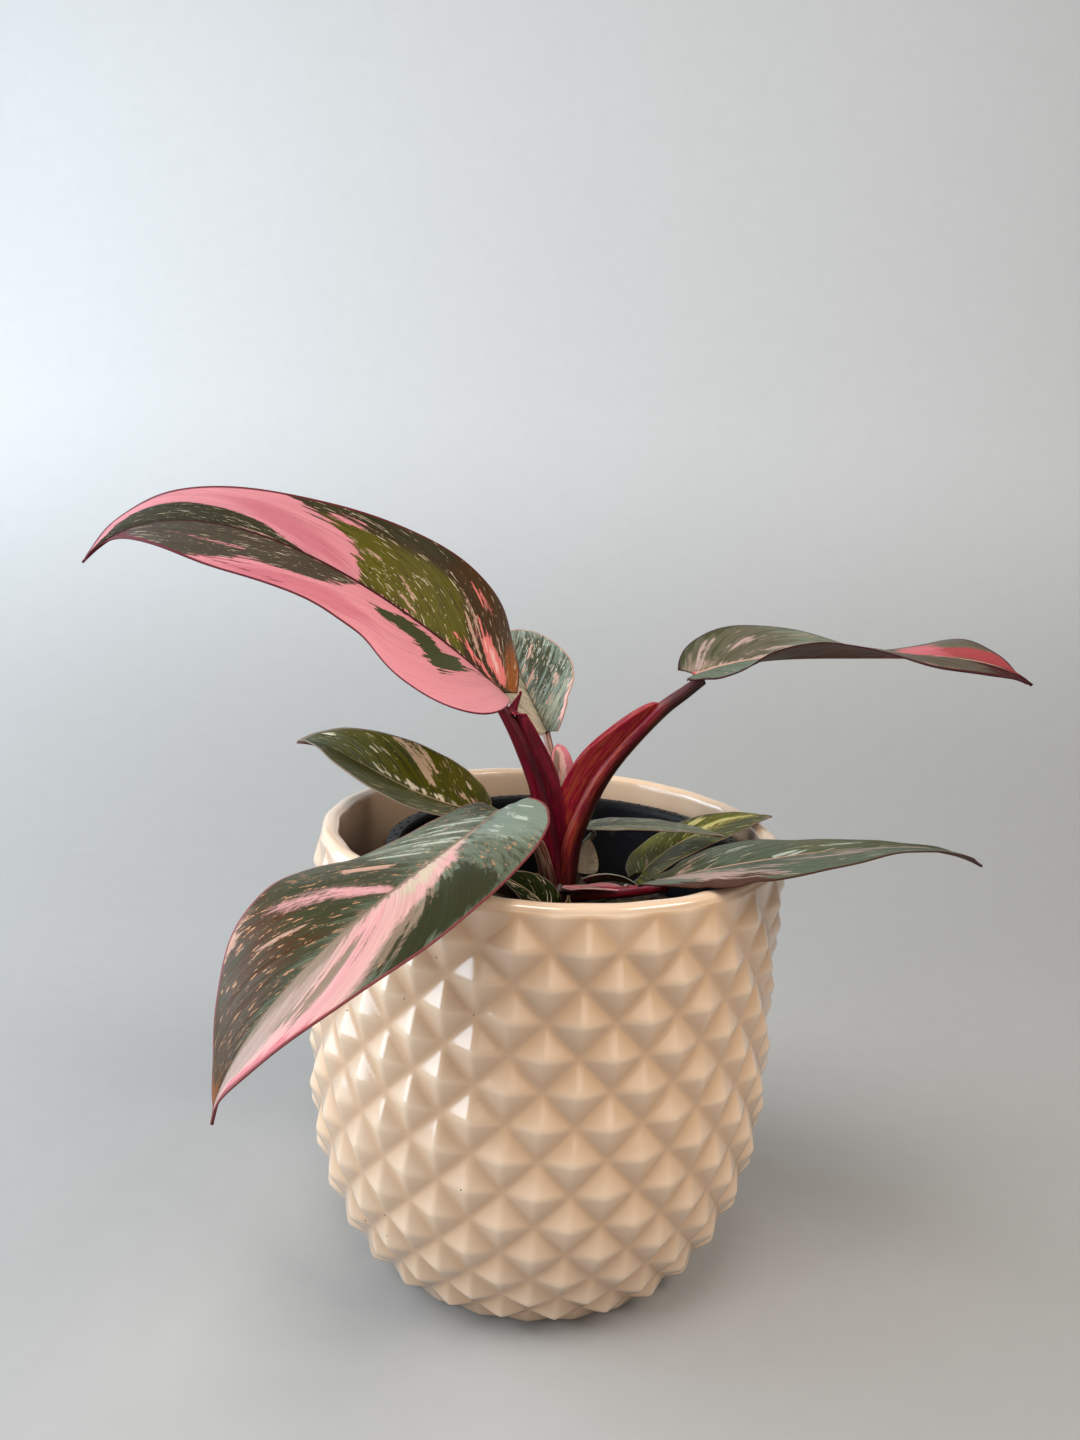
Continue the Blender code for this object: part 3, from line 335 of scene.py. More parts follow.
# The markings of each blade. A patch, or a tone under the flecks, is a colour, how soft its edge is and
# how ragged (mm), and its outlines. An outline is a ring of points, two numbers each, in percent: the
# vein it lies on (0 at the base, 100 at the tip) and how far out along that vein (-100 at the left
# margin, 0 at the midrib, 100 at the right margin). Later patches lie on earlier ones. Five numbers are
# a streak: its two ends as such points, and half its width (mm). mottle, flecks, blots and under (the
# tint of the underside) are how much there is of each (0 to 1) and its colour. grid is how many steps
# the blade has along and across, sweep is how far its veins lean forward, and bends are dents and
# swellings of a margin: the side (-1 or 1), and the place and spread (0 to 1) and depth (m) of each.
LOOKS = {
    "leaf_upper_left": dict(
        grid=(150, 64), sweep=0.45, ground="brown_olive", mottle=(0.45, (58, 40, 14)),
        flecks=(0.66, "cream"), blots=(0.45, "cream"), rib="dark_maroon", margin="maroon",
        bends=((-1, 0.29, 0.035, 0.001), (-1, 0.355, 0.03, -0.0012)),
        tones=(
            ("drab", 2.0, 0.5, (36, 0, 36, -110, 110, -110, 110, 0)),
            ("olive", 6.0, 1.0, (15, 0, 22, 42, 30, 64, 42, 70, 52, 80, 50, 40, 44, 0)),
            ("dark_olive", 3.0, 0.8, (48, 0, 58, 40, 80, 110, 110, 110, 110, 0)),
            ("umber", 8.0, 1.5, (-5, 30, 0, 110, 36, 110, 32, 76, 14, 50)),
            # orange_brown here is painted light: the base of the right half glowing as light shines through
            # it from behind.
            ("orange_brown", 5.0, 1.0, (-5, 50, 0, 110, 17, 110, 13, 74, 6, 55)),
            ("dark_olive", 5.0, 1.0, (34, 82, 40, 76, 52, 86, 56, 110, 34, 110)),
        ),
        patches=(
            ("pink", 0.3, 0.8, (40.5, -2, 44, 35, 45.5, 50, 50, 70, 52, 80, 56.5, 110, 105, 110, 102, 30,
             90, 60, 80, 72, 75, 70, 70, 60, 65, 45, 60, 30, 56, 12, 50, -2), (-10, 0, 39.5, 0, 43, -30,
             47, -50, 52, -55, 57, -60, 61, -80, 66, -110, -10, -110), (45, 74, 49.5, 84, 1.1),
             (60, -42, 74, -62, 0.5)),
            ("deep_pink", 6.0, 1.0, (44, 10, 50, 45, 58, 75, 64, 75, 58, 30, 52, 8),
             (34, -62, 42, -50, 54, -70, 60, -92, 50, -100, 40, -90)),
            ("coral", 0.8, 0.9, (4, 28, 10, 24, 17, 38, 18, 50, 13, 52, 6, 55, 3, 42),
             (17, 44, 21.5, 52, 0.5), (15, 36, 20, 40, 0.4), (21.5, 74, 27.5, 80, 1.0),
             (2, 8, 20, 17, 0.6)),
            ("pale_pink", 1.4, 0.8, (6, 38, 16, 42, 1.1)),
            ("tan_pink", 0.5, 0.5, (14.5, 32, 30, 66, 0.75), (12, 20, 24, 44, 0.55),
             (9, 56, 20, 68, 0.45), (27, 4, 34, 16, 0.35), (31, 18, 38, 40, 0.4), (40, 40, 43.5, 50, 0.5),
             (54, 3, 66, 6, 0.35)),
            ("dark_green", 0.3, 0.9, (13, -22, 20, -52, 23.5, -42, 25, -30, 29, -30, 34.5, -38, 36.5, -30,
             30, -7, 22, -8, 20, -20, 16, -12), (5, -6, 13, -20, 0.5)),
            ("brown_maroon", 0.8, 0.9, (50, -84, 64, -86, 1.1), (55, -72, 62, -78, 0.6)),
        ),
    ),
    "leaf_front_left": dict(
        grid=(140, 64), sweep=0.18, ground="slate_green", mottle=(0.5, "moss"), flecks=(0.5, "tan_cream"),
        blots=(0.9, "tan_cream"), rib="grey_tan", margin="brown_maroon",
        tones=(
            ("moss", 9.0, 2.0, (42, 2, 36, 60, 38, 110, 105, 110, 105, 0)),
            ("bronze", 10.0, 2.0, (66, 20, 54, 110, 105, 110, 105, 2)),
            ("umber", 8.0, 1.5, (84, 30, 76, 110, 110, 110, 110, 20)),
            ("orange_brown", 5.0, 1.0, (92, 30, 86, 110, 110, 110, 110, 20)),
            ("blue_green", 5.0, 1.5, (-5, -10, -5, -110, 28, -110, 26, -10)),
            ("moss", 5.0, 1.5, (-5, 5, -5, 110, 9, 110, 8, 30)),
        ),
        patches=(
            ("soft_pink", 3.2, 0.7, (14, -2, 30, -17, 36, -30, 42, -32, 50, -46, 58, -64, 66, -110, 105,
             -110, 105, 0, 75, -4, 50, -3, 30, -2)),
            ("dusty_pink", 4.0, 1.2, (62, -5, 70, -50, 80, -80, 105, -70, 105, -10)),
            ("beige", 3.0, 1.2, (18, -2, 30, -10, 44, -22, 52, -26, 50, -8)),
            ("faded_pink", 3.0, 1.0, (31, -16, 36, -26, 40, -24, 36, -15),
             (54, -12, 61, -22, 67, -50, 74, -95, 68, -100, 61, -60), (50, 2, 55.5, 62, 1.5),
             (54.5, 40, 60, 78, 1.0), (49, 5, 52, 22, 1.0)),
            ("grey_tan", 3.0, 1.3, (47, -42, 56, -50, 61, -80, 58, -95, 48, -62)),
            ("grey_tan", 2.6, 1.2, (60, -34, 66, -42, 75, -62, 72, -72, 64, -52)),
            ("grey_tan", 3.0, 1.0, (58, 0, 64, -16, 75, -26, 92, -34, 105, 0)),
            ("old_rose", 2.5, 0.6, (66, -97, 76, -86, 100, -86, 100, -110, 66, -110)),
            ("silver", 2.0, 1.4, (7, 12, 22, 62, 1.2), (11, 22, 26, 72, 1.4), (15, 10, 30, 58, 1.2),
             (20, 6, 34, 46, 0.9), (24, 40, 34, 78, 0.7), (30, 20, 38, 50, 0.6), (17, -25, 22, -50, 0.7),
             (24, -40, 28, -62, 0.8)),
            ("tan_pink", 1.4, 1.2, (42, 30, 46, 52, 0.7), (62, 40, 66, 62, 0.9), (60, 96, 68, 98, 0.8)),
            ("deep_moss", 2.2, 1.3, (36, -36, 44, -42, 50, -55, 57, -70, 61, -100, 60, -110, 42, -110)),
            ("slate_green", 3.0, 0.8, (40, -96, 54, -96, 54, -110, 40, -110)),
            ("blue_green", 6.0, 1.5, (-5, -12, -5, -110, 27, -110, 25, -40, 16, -14)),
            ("silver", 1.6, 1.4, (3, -32, 6, -40, 0.4), (7, -40, 11, -52, 0.5), (10, -22, 13, -30, 0.4),
             (14, -56, 17, -68, 0.5), (17, -34, 21, -44, 0.4), (20, -66, 23, -76, 0.4),
             (5, -66, 8, -74, 0.4)),
        ),
    ),
    "leaf_upper_right": dict(
        grid=(130, 56), sweep=0.25, ground="drab_grey", mottle=(0.42, "dark_green"),
        flecks=(0.46, "tan_pink"), rib="tan_pink", margin="dark_maroon", under=(0.4, "maroon"),
        tones=(
            ("grey_tan", 5.0, 2.0, (-5, -10, 0, -75, 8, -72, 10, -10)),
            ("slate_green", 4.0, 1.0, (0, 5, 0, 110, 36, 110, 38, 5)),
            ("grey_green", 5.0, 2.0, (34, -30, 30, -110, 52, -110, 50, -30)),
            ("grey_brown", 3.0, 1.0, (58, 5, 58, 110, 86, 110, 90, 5)),
            ("dark_maroon", 3.0, 1.0, (84, 5, 82, 110, 110, 110, 110, 5)),
        ),
        patches=(
            ("dark_green", 1.0, 1.0, (0, -84, 12, -86, 24, -92, 26, -110, 0, -110)),
            ("rose", 1.4, 0.6, (-5, -28, -3, 10, 2, 2, 3, -20)),
            ("dusty_pink", 1.4, 0.9, (2, -12, 9, -36, 0.7), (4, -30, 12, -60, 0.5),
             (8, -50, 17, -78, 0.4), (17, -36, 25, -58, 0.5), (24, -48, 31, -64, 0.3),
             (22, -16, 33, -34, 0.4), (31, -14, 43, -36, 0.6), (36, -30, 47, -52, 0.4),
             (2, -2, 36, -3, 0.4)),
            ("dusk_pink", 1.4, 1.0, (63, 0, 62, -50, 66, -60, 72, -48, 79, -28, 83, -2)),
            ("red_brown", 3.5, 1.6, (72, -42, 76, -72, 80, -110, 105, -110, 105, -4, 80, -4)),
            ("burgundy", 4.0, 0.8, (92, -110, 92, -4, 105, -4, 105, -110)),
            ("grey_brown", 0.9, 0.9, (55, -66, 70, -72, 77, -80, 78, -110, 55, -110)),
        ),
    ),
    "leaf_right": dict(
        grid=(120, 52), sweep=0.5, ground="slate", mottle=(0.45, "dark_green"), flecks=(0.6, "cream"),
        rib="tan_pink", margin="dark_brown",
        bends=((1, 0.27, 0.012, -0.0012), (1, 0.31, 0.01, 0.0007), (1, 0.345, 0.012, -0.001)),
        tones=(
            ("dark_green", 5.0, 2.0, (0, -5, 0, -110, 26, -110, 22, -5)),
            ("soft_green", 7.0, 2.0, (45, 10, 45, -110, 95, -110, 95, 10)),
        ),
        patches=(
            ("dusty_pink", 1.2, 1.3, (-10, 28, -10, 110, 36, 110, 38, 80, 30, 45, 20, 32, 8, 25),
             (34, 44, 90, 50, 0.6)),
            ("slate_green", 0.8, 1.0, (4, 72, 12, 62, 24, 66, 24, 95, 6, 95)),
            ("tan_pink", 0.7, 0.8, (16, -42, 24, -74, 0.6), (8, -12, 16, -34, 0.5)),
            ("silver", 0.6, 0.7, (38, -5, 46, -14, 0.5), (52, -30, 60, -42, 0.4),
             (30, -50, 36, -66, 0.5)),
            ("dark_brown", 1.0, 0.9, (20, 92, 26, 72, 32, 68, 37, 86, 38, 110, 18, 110)),
        ),
    ),
    "leaf_left": dict(
        grid=(100, 48), sweep=0.3, ground="olive_green", mottle=(0.45, "moss"), flecks=(0.7, "tan"),
        blots=(0.55, "beige"), rib="tan", margin="grey_tan",
        tones=(
            ("olive", 6.0, 1.5, (10, 3, 10, 110, 76, 110, 76, 3)),
            ("soft_green", 5.0, 1.5, (4, -20, 4, -110, 60, -110, 60, -50)),
            ("soft_green", 5.0, 1.5, (84, 3, 84, 110, 105, 110, 105, 3)),
        ),
        patches=(
            ("pale_tan", 0.8, 1.1, (36, 30, 42, 45, 48, 75, 55, 100, 50, 98, 42, 78, 37, 52),
             (8, 16, 27, 42, 1.6), (6, -30, 20, -50, 0.8)),
            ("cream", 0.6, 0.5, (18, 6, 56, 10, 0.3), (57, 10, 62, 16, 0.5), (57, 48, 62, 57, 0.6),
             (75, 76, 80, 84, 0.6), (18, 60, 23, 69, 0.5)),
        ),
    ),
    "leaf_upper_back": dict(
        grid=(100, 48), sweep=0.3, ground="blue_green", mottle=(0.45, "moss"), flecks=(0.8, "silver"),
        blots=(1.0, "beige"), rib="brown", margin="tan_pink",
        tones=(
            ("moss", 5.0, 3.0, (25, 20, 35, 90, 80, 80, 80, 10)),
            ("pale_green", 5.0, 2.0, (6, 15, 10, 80, 26, 80, 22, 15)),
            ("beige", 6.0, 2.0, (-5, -2, -5, -110, 50, -110, 40, -2)),
        ),
        patches=(
            ("tan_pink", 0.8, 0.9, (49, 5, 57, 17, 1.0), (58, 28, 64, 36, 68, 56, 63, 52, 58, 38),
             (41, 14, 46, 28, 1.1), (19, 37, 25, 46, 1.0), (30, 55, 37, 66, 0.8)),
            ("pale_pink", 0.9, 0.8, (7, 88, 16, 86, 28, 90, 28, 110, 7, 110)),
        ),
    ),
    "leaf_right_back": dict(
        grid=(84, 40), sweep=0.35, ground="yellow_green", mottle=(0.4, "olive"),
        flecks=(0.74, "cream_yellow"), blots=(0.6, "cream_yellow"), rib="tan", margin="grey_tan",
        tones=(
            ("olive_green", 5.0, 1.5, (30, 5, 36, -110, 58, -110, 54, 5)),
            ("olive", 5.0, 1.5, (-5, -10, -5, -110, 30, -110, 26, -10)),
            ("soft_green", 5.0, 1.5, (10, 20, 10, 110, 90, 110, 90, 20)),
        ),
        patches=(
            ("cream_yellow", 0.6, 0.8, (52, -14, 66, -20, 86, -26, 86, -34, 68, -32, 54, -24),
             (48, -54, 55, -70, 0.6)),
            ("tan_pink", 0.6, 0.6, (6, -10, 15, -32, 0.7)),
        ),
    ),
    "leaf_narrow_back": dict(
        grid=(72, 32), sweep=0.35, ground="grey_green", mottle=(0.6, "soft_green"),
        flecks=(1.0, "pale_green"), blots=(1.0, "beige"), rib="pale_green", margin="grey_tan",
        tones=(
            ("yellow_green", 2.0, 1.0, (-5, 55, -5, 110, 60, 110, 55, 80)),
        ),
    ),
    "leaf_front_dark": dict(
        grid=(56, 28), sweep=0.4, ground="deep_green", mottle=(0.35, "dark_green"), flecks=(0.8, "cream"),
        blots=(0.5, "cream_yellow"), rib="tan", margin="grey_tan",
        patches=(
            ("cream", 0.4, 0.5, (10, -8, 30, -18, 42, -16, 30, -4)),
        ),
    ),
    "leaf_front_olive": dict(
        grid=(48, 24), sweep=0.35, ground="olive", mottle=(0.4, "brown_olive"), flecks=(0.5, "tan"),
        rib="tan", margin="tan",
        tones=(
            ("brown_olive", 3.0, 1.0, (-5, -110, 40, -110, 40, 110, -5, 110)),
        ),
    ),
    "leaf_low_right": dict(
        grid=(56, 28), sweep=0.35, ground="dark_green", mottle=(0.4, "brown_olive"), flecks=(0.45, "tan"),
        rib="tan", margin="maroon",
        tones=(
            ("olive", 4.0, 1.0, (20, -110, 80, -110, 80, 0, 20, 0)),
        ),
    ),
    "leaf_curled": dict(
        grid=(48, 28), sweep=0.3, ground="grey_green", mottle=(0.3, "maroon"), flecks=(0.4, "pale_green"),
        rib="pale_green", margin="pale_green",
        tones=(
            ("brown_maroon", 2.0, 1.0, (-5, 15, -5, 110, 105, 110, 105, 15)),
        ),
    ),
    "leaf_new": dict(
        grid=(64, 32), sweep=0.1, ground="pale_pink", mottle=(0.3, "rose"), flecks=(0.45, "rose"),
        rib="cream", margin="old_rose",
        tones=(
            ("grey_tan", 2.0, 0.8, (-5, -35, -5, -110, 85, -110, 90, -30)),
            ("old_rose", 2.0, 0.8, (-5, 60, -5, 110, 105, 110, 105, 40)),
        ),
        patches=(
            ("cream", 0.8, 0.6, (15, -14, 85, -14, 85, 16, 15, 16)),
        ),
    ),
    "leaf_bud_front": dict(
        grid=(36, 20), sweep=0.1, ground="yellow_green", mottle=(0.35, "olive"),
        flecks=(0.35, "cream_yellow"), rib="olive", margin="tan",
    ),
    "dried_sheath": dict(
        grid=(36, 20), sweep=0.05, ground="beige", mottle=(0.4, "tan"), flecks=(0.55, "brown"),
        rib="beige", margin="tan",
    ),
}


class Graph:
    """A short way to write one material's nodes. A colour is a socket, a palette name or 0 to 255."""

    def __init__(self, name, **finish):
        self.material = bpy.data.materials.new(name)
        self.material.use_nodes = True
        self.tree = self.material.node_tree
        self.shader = self.tree.nodes["Principled BSDF"]
        for socket, value in finish.items():
            self.shader.inputs[socket.replace("_", " ")].default_value = value

    def feed(self, socket, value):
        if isinstance(value, bpy.types.NodeSocket):
            self.tree.links.new(value, socket)
        else:
            socket.default_value = value

    def node(self, kind, inputs, output=0, **settings):
        made = self.tree.nodes.new("ShaderNode" + kind)
        for key, value in settings.items():
            setattr(made, key, value)
        for key, value in inputs.items():
            self.feed(made.inputs[key], value)
        return made.outputs[output]

    def number(self, name):
        return self.node("Attribute", {}, "Fac", attribute_name=name)

    def vector(self, name):
        return self.node("Attribute", {}, "Vector", attribute_name=name)

    def place(self):
        return self.node("TexCoord", {}, "Object")

    def share(self, vector, axis):
        return self.node("SeparateXYZ", {0: vector}, axis)

    def noise(self, vector, scale=1.0, detail=2.0, rough=0.5):
        """Noise of one scale, or of a scale for each axis."""
        if isinstance(scale, tuple):
            vector = self.node("VectorMath", {0: vector, 1: scale}, operation="MULTIPLY")
            scale = 1.0
        inputs = {"Vector": vector, "Scale": scale, "Detail": detail, "Roughness": rough}
        return self.node("TexNoise", inputs)

    def math(self, operation, first, second=0.0, third=0.0):
        return self.node("Math", {0: first, 1: second, 2: third}, operation=operation)

    def step(self, value, low, high):
        """0 below low, 1 above high, and smooth between them."""
        inputs = {"Value": value, "From Min": low, "From Max": high}
        return self.node("MapRange", inputs, interpolation_type="SMOOTHSTEP")

    def span(self, value, low, high):
        """A value from 0 to 1, stretched from low to high."""
        return self.node("MapRange", {"Value": value, "To Min": low, "To Max": high})

    def mix(self, factor, first, second, blend="MIX"):
        first, second = (c if isinstance(c, bpy.types.NodeSocket) else srgb(c) for c in (first, second))
        return self.node("Mix", {0: factor, 6: first, 7: second}, 2, data_type="RGBA", blend_type=blend)

    def shade(self, colour, value, low, high):
        """The colour made darker or lighter by a value from 0 to 1."""
        level = self.span(value, low, high)
        return self.mix(1.0, colour, self.node("CombineColor", {0: level, 1: level, 2: level}), "MULTIPLY")

    def finish(self, colour, roughness, height, depth, strength):
        bump = self.node("Bump", {"Height": height, "Distance": depth, "Strength": strength})
        for socket, value in (("Base Color", colour), ("Roughness", roughness), ("Normal", bump)):
            self.feed(self.shader.inputs[socket], value)
        return self.material


def leaf_material(name, look, under):
    """A blade's surface: ground, soft tones, flecks, ragged patches, midrib, margin, veins."""
    graph = Graph(name, Specular_IOR_Level=0.13)
    vein = graph.vector("vein")
    jag = graph.noise(vein, (0.80, 0.60, 1.0), 3.0, 0.6)
    streak = graph.noise(vein, (1.9, 0.10, 1.0), 3.0, 0.55)
    broad = graph.noise(vein, (0.10, 0.06, 1.0))
    steps = graph.node("VectorMath", {0: vein, 1: (1.5, 900.0, 1.0)}, operation="SNAP")
    strip = graph.noise(steps, 3.7, 0.0)
    swing = graph.math("ADD", graph.math("MULTIPLY", jag, 1.3), graph.math("MULTIPLY", strip, 2.1))
    swing = graph.math("SUBTRACT", swing, 1.7)

    def lay(colour, index, patch):
        tint, soft, ragged, *_ = patch
        reach = graph.math("MULTIPLY_ADD", swing, ragged * 4.0, graph.number("patch_%d" % index))
        return graph.mix(graph.step(reach, -soft / 2, soft / 2), colour, tint)

    def speckle(colour, spots, common, marks):
        amount, tint = marks
        edge = common - 0.20 * amount
        return graph.mix(graph.step(spots, edge, edge + 0.03), colour, tint)

    colour = look["ground"]
    tones = look.get("tones", ())
    for index, patch in enumerate(tones):
        colour = lay(colour, index, patch)
    amount, tint = look["mottle"]
    mottle = graph.noise(vein, (0.55, 0.12, 1.0), 6.0, 0.75)
    blot = graph.step(mottle, 0.62 - 0.25 * amount, 0.70 - 0.25 * amount)
    colour = graph.mix(graph.math("MULTIPLY", blot, 0.75), colour, tint)
    colour = graph.shade(colour, streak, 0.72, 1.28)
    dot = graph.math("SUBTRACT", graph.noise(vein, (1.5, 0.70, 1.0), 1.0), 0.03)
    fleck = graph.math("MAXIMUM", graph.noise(vein, (1.15, 0.22, 1.0), 1.0), dot)
    colour = speckle(colour, graph.math("MULTIPLY_ADD", broad, 0.25, fleck), 0.945, look["flecks"])
    if "blots" in look:
        colour = speckle(colour, graph.noise(vein, (0.75, 0.30, 1.0), 3.0, 0.7), 0.785, look["blots"])
    for index, patch in enumerate(look.get("patches", ())):
        colour = lay(colour, len(tones) + index, patch)
    colour = graph.shade(colour, streak, 0.82, 1.18)
    colour = graph.shade(colour, broad, 0.88, 1.12)
    colour = graph.mix(graph.step(graph.number("rib"), 1.0, 0.5), colour, look["rib"])
    colour = graph.mix(graph.step(graph.number("edge"), 0.75, 0.30), colour, look["margin"])
    if under:
        amount, tint = look.get("under", (0.45, "maroon"))
        colour = graph.mix(amount, colour, tint)
    lateral = graph.noise(vein, (0.42, 0.02, 1.0))
    height = graph.math("MULTIPLY_ADD", streak, 0.35, lateral)
    roughness = graph.span(streak, 0.48, 0.62) if under else graph.span(streak, 0.32, 0.48)
    return graph.finish(colour, roughness, height, depth=0.0005, strength=0.8)


def stalk_material(name, base, lit, dark, edge="soft_pink", shadow=0.0, foot=0.75, beyond=None):
    """A petiole or sheath: streaks along it, painted shade at its foot and on its side away from the light,
    pale edges.
    """
    graph = Graph(name, Coat_Weight=0.12, Coat_Roughness=0.18, Specular_IOR_Level=0.2)
    grain = graph.vector("grain")
    streak = graph.noise(grain, (1.0, 1.0, 0.08), 4.0, 0.6)
    line = graph.noise(grain, (2.8, 2.8, 0.05))
    speck = graph.noise(grain, (1.6, 1.6, 0.45), 3.0)
    across, travel = graph.share(grain, "X"), graph.share(grain, "Z")
    colour = graph.mix(graph.step(streak, 0.40, 0.62), base, lit)
    colour = graph.mix(graph.step(line, 0.56, 0.66), colour, dark)
    colour = graph.shade(colour, speck, 0.70, 1.30)
    if beyond:
        reach, tint = beyond
        colour = graph.mix(graph.step(travel, reach - 4.0, reach + 4.0), colour, tint)
    # Painted shade: the side of a stalk away from the window, and the foot of each stalk and sheath near the
    # soil, darkened towards black maroon.
    painted_side_shade = graph.math("MULTIPLY", graph.step(across, 1.2, -2.0), shadow)
    deep = graph.math("MULTIPLY", graph.step(travel, 26.0, 6.0), foot)
    colour = graph.mix(graph.math("MAXIMUM", painted_side_shade, deep), colour, "black_maroon")
    rim = graph.math("MULTIPLY", graph.step(graph.number("edge"), 0.35, 0.10), 0.7)
    colour = graph.mix(rim, colour, edge)
    return graph.finish(colour, graph.span(speck, 0.28, 0.44), streak, depth=0.0004, strength=0.7)


def glaze_material():
    """Cream glaze: thick and darker in the creases, partly pooled glaze and partly painted shade, with
    pinholes and a bare foot ring.
    """
    graph = Graph("cream_glaze", Coat_Weight=1.0, Coat_Roughness=0.15, Coat_IOR=1.75, Specular_IOR_Level=0.3)
    place = graph.place()
    cloud = graph.noise(place, 28.0, 3.0)
    fine = graph.noise(place, 420.0)
    colour = graph.mix(cloud, (226, 194, 162), (236, 208, 178))
    # Painted shade in part: the creases, where thick is 1, are darkened and warmed, partly as pooled glaze
    # and partly as the shade that falls in them.
    colour = graph.mix(graph.math("MULTIPLY", graph.number("thick"), 0.7), colour, (184, 136, 90))
    cells = graph.node("TexVoronoi", {"Vector": place, "Scale": 150.0}, "Distance")
    rare = graph.step(graph.noise(place, 60.0, 1.0), 0.55, 0.60)
    pinhole = graph.math("MULTIPLY", graph.step(cells, 0.055, 0.035), rare)
    colour = graph.mix(pinhole, colour, (92, 66, 46))
    bare = graph.number("bare")
    colour = graph.mix(bare, colour, (206, 190, 168))
    roughness = graph.math("ADD", graph.span(cloud, 0.24, 0.36), graph.math("MULTIPLY", bare, 0.4))
    height = graph.math("SUBTRACT", graph.math("MULTIPLY", fine, 0.12), pinhole)
    height = graph.math("ADD", height, graph.math("MULTIPLY", cloud, 1.6))
    return graph.finish(colour, roughness, height, depth=0.0004, strength=0.6)


def plastic_material():
    """Black moulded plastic with a little dust."""
    graph = Graph("black_plastic", Specular_IOR_Level=0.2)
    place = graph.place()
    cloud = graph.noise(place, 35.0, 3.0)
    grain = graph.noise(place, 900.0)
    dust = graph.step(graph.noise(place, 240.0, 3.0, 0.7), 0.60, 0.72)
    colour = graph.mix(cloud, (6, 6, 8), (14, 14, 16))
    colour = graph.mix(graph.math("MULTIPLY", dust, 0.12), colour, (96, 92, 86))
    return graph.finish(colour, graph.span(cloud, 0.34, 0.52), grain, depth=0.0002, strength=0.4)


def soil_material(name, dark, light):
    """Potting mix, bark or perlite: clods of two tones with pale fibres."""
    graph = Graph(name)
    place = graph.place()
    clod = graph.noise(place, 260.0, 5.0, 0.7)
    fibre = graph.noise(place, (420.0, 1260.0, 420.0), 3.0)
    colour = graph.mix(graph.step(clod, 0.38, 0.66), dark, light)
    colour = graph.mix(graph.step(fibre, 0.64, 0.72), colour, (112, 86, 58))
    return graph.finish(colour, graph.span(clod, 0.80, 0.98), clod, depth=0.0012, strength=1.0)


def studio_material(name, floor, wall, roughness):
    """Matt paper, paler where it rises behind the object."""
    graph = Graph(name)
    place = graph.place()
    weave = graph.noise(place, 90.0, 4.0)
    tone = graph.mix(graph.step(graph.share(place, "Z"), 0.0, 0.30), floor, wall)
    tone = graph.shade(tone, weave, 0.97, 1.03)
    return graph.finish(tone, roughness, weave, depth=0.0003, strength=0.15)


def smooth_values(values, along):
    """The polynomial through evenly spaced values, read at along (0 to 1)."""
    stations = np.linspace(0.0, 1.0, len(values))
    return np.polyval(np.polyfit(stations, values, len(values) - 1), along)


def side_and_up(tangent, roll):
    """The directions to the right of the travel and out of the upper face, for each tangent."""
    level = np.hypot(tangent[:, 0], tangent[:, 1])[:, None]
    flat = np.stack([tangent[:, 1], -tangent[:, 0], 0.0 * tangent[:, 2]], axis=1) / level
    upward = np.cross(flat, tangent)
    turn = np.radians(roll)[:, None]
    return (
        np.cos(turn) * flat + np.sin(turn) * upward,
        np.cos(turn) * upward - np.sin(turn) * flat,
    )


def midrib(leaf):
    """Points, tangents, sides and upward directions at even steps along a blade's midrib."""
    along = np.linspace(0.0, 1.0, MIDRIB_SAMPLES)
    heading = np.radians(smooth_values(leaf["heading"], along))
    pitch = np.radians(smooth_values(leaf["pitch"], along))
    tangent = np.stack(
        [np.cos(pitch) * np.cos(heading), np.cos(pitch) * np.sin(heading), np.sin(pitch)], axis=1
    )
    step = leaf["length"] / (MIDRIB_SAMPLES - 1)
    points = np.zeros_like(tangent)
    points[1:] = np.cumsum((tangent[1:] + tangent[:-1]) / 2, axis=0) * step
    points += np.array(leaf["base"])
    side, up = side_and_up(tangent, smooth_values(leaf["roll"], along))
    return points, tangent, side, up


def margin_line(leaf, half, along, bends):
    """How far along the midrib, and how far out from it, each point of one margin lies."""
    widths = leaf["left"] if half < 0 else leaf["right"]
    lobe = leaf["lobes"][0] if half < 0 else leaf["lobes"][1]
    way = np.linspace(0.0, 1.0, 401)[1:-1]
    peak = (np.sin(math.pi * way) ** MARGIN_BASE * (1 - way) ** MARGIN_TIP).max()
    width = smooth_values(widths, along)
    swell = np.sin(math.pi * along).clip(0.0) ** MARGIN_BASE * (1 - along) ** MARGIN_TIP / peak
    out = np.maximum(width * swell, SINUS_SHARE * width * np.exp(-((along / SINUS_FADE) ** 2)))
    for side, place, spread, amount in bends:
        if side == half:
            out = out + amount * np.exp(-(((along - place) / spread) ** 2))
    reach = -lobe + (leaf["length"] + lobe) * (1 - np.cos(math.pi * along)) / 2
    return reach, np.maximum(out, TIP_HALF_WIDTH)


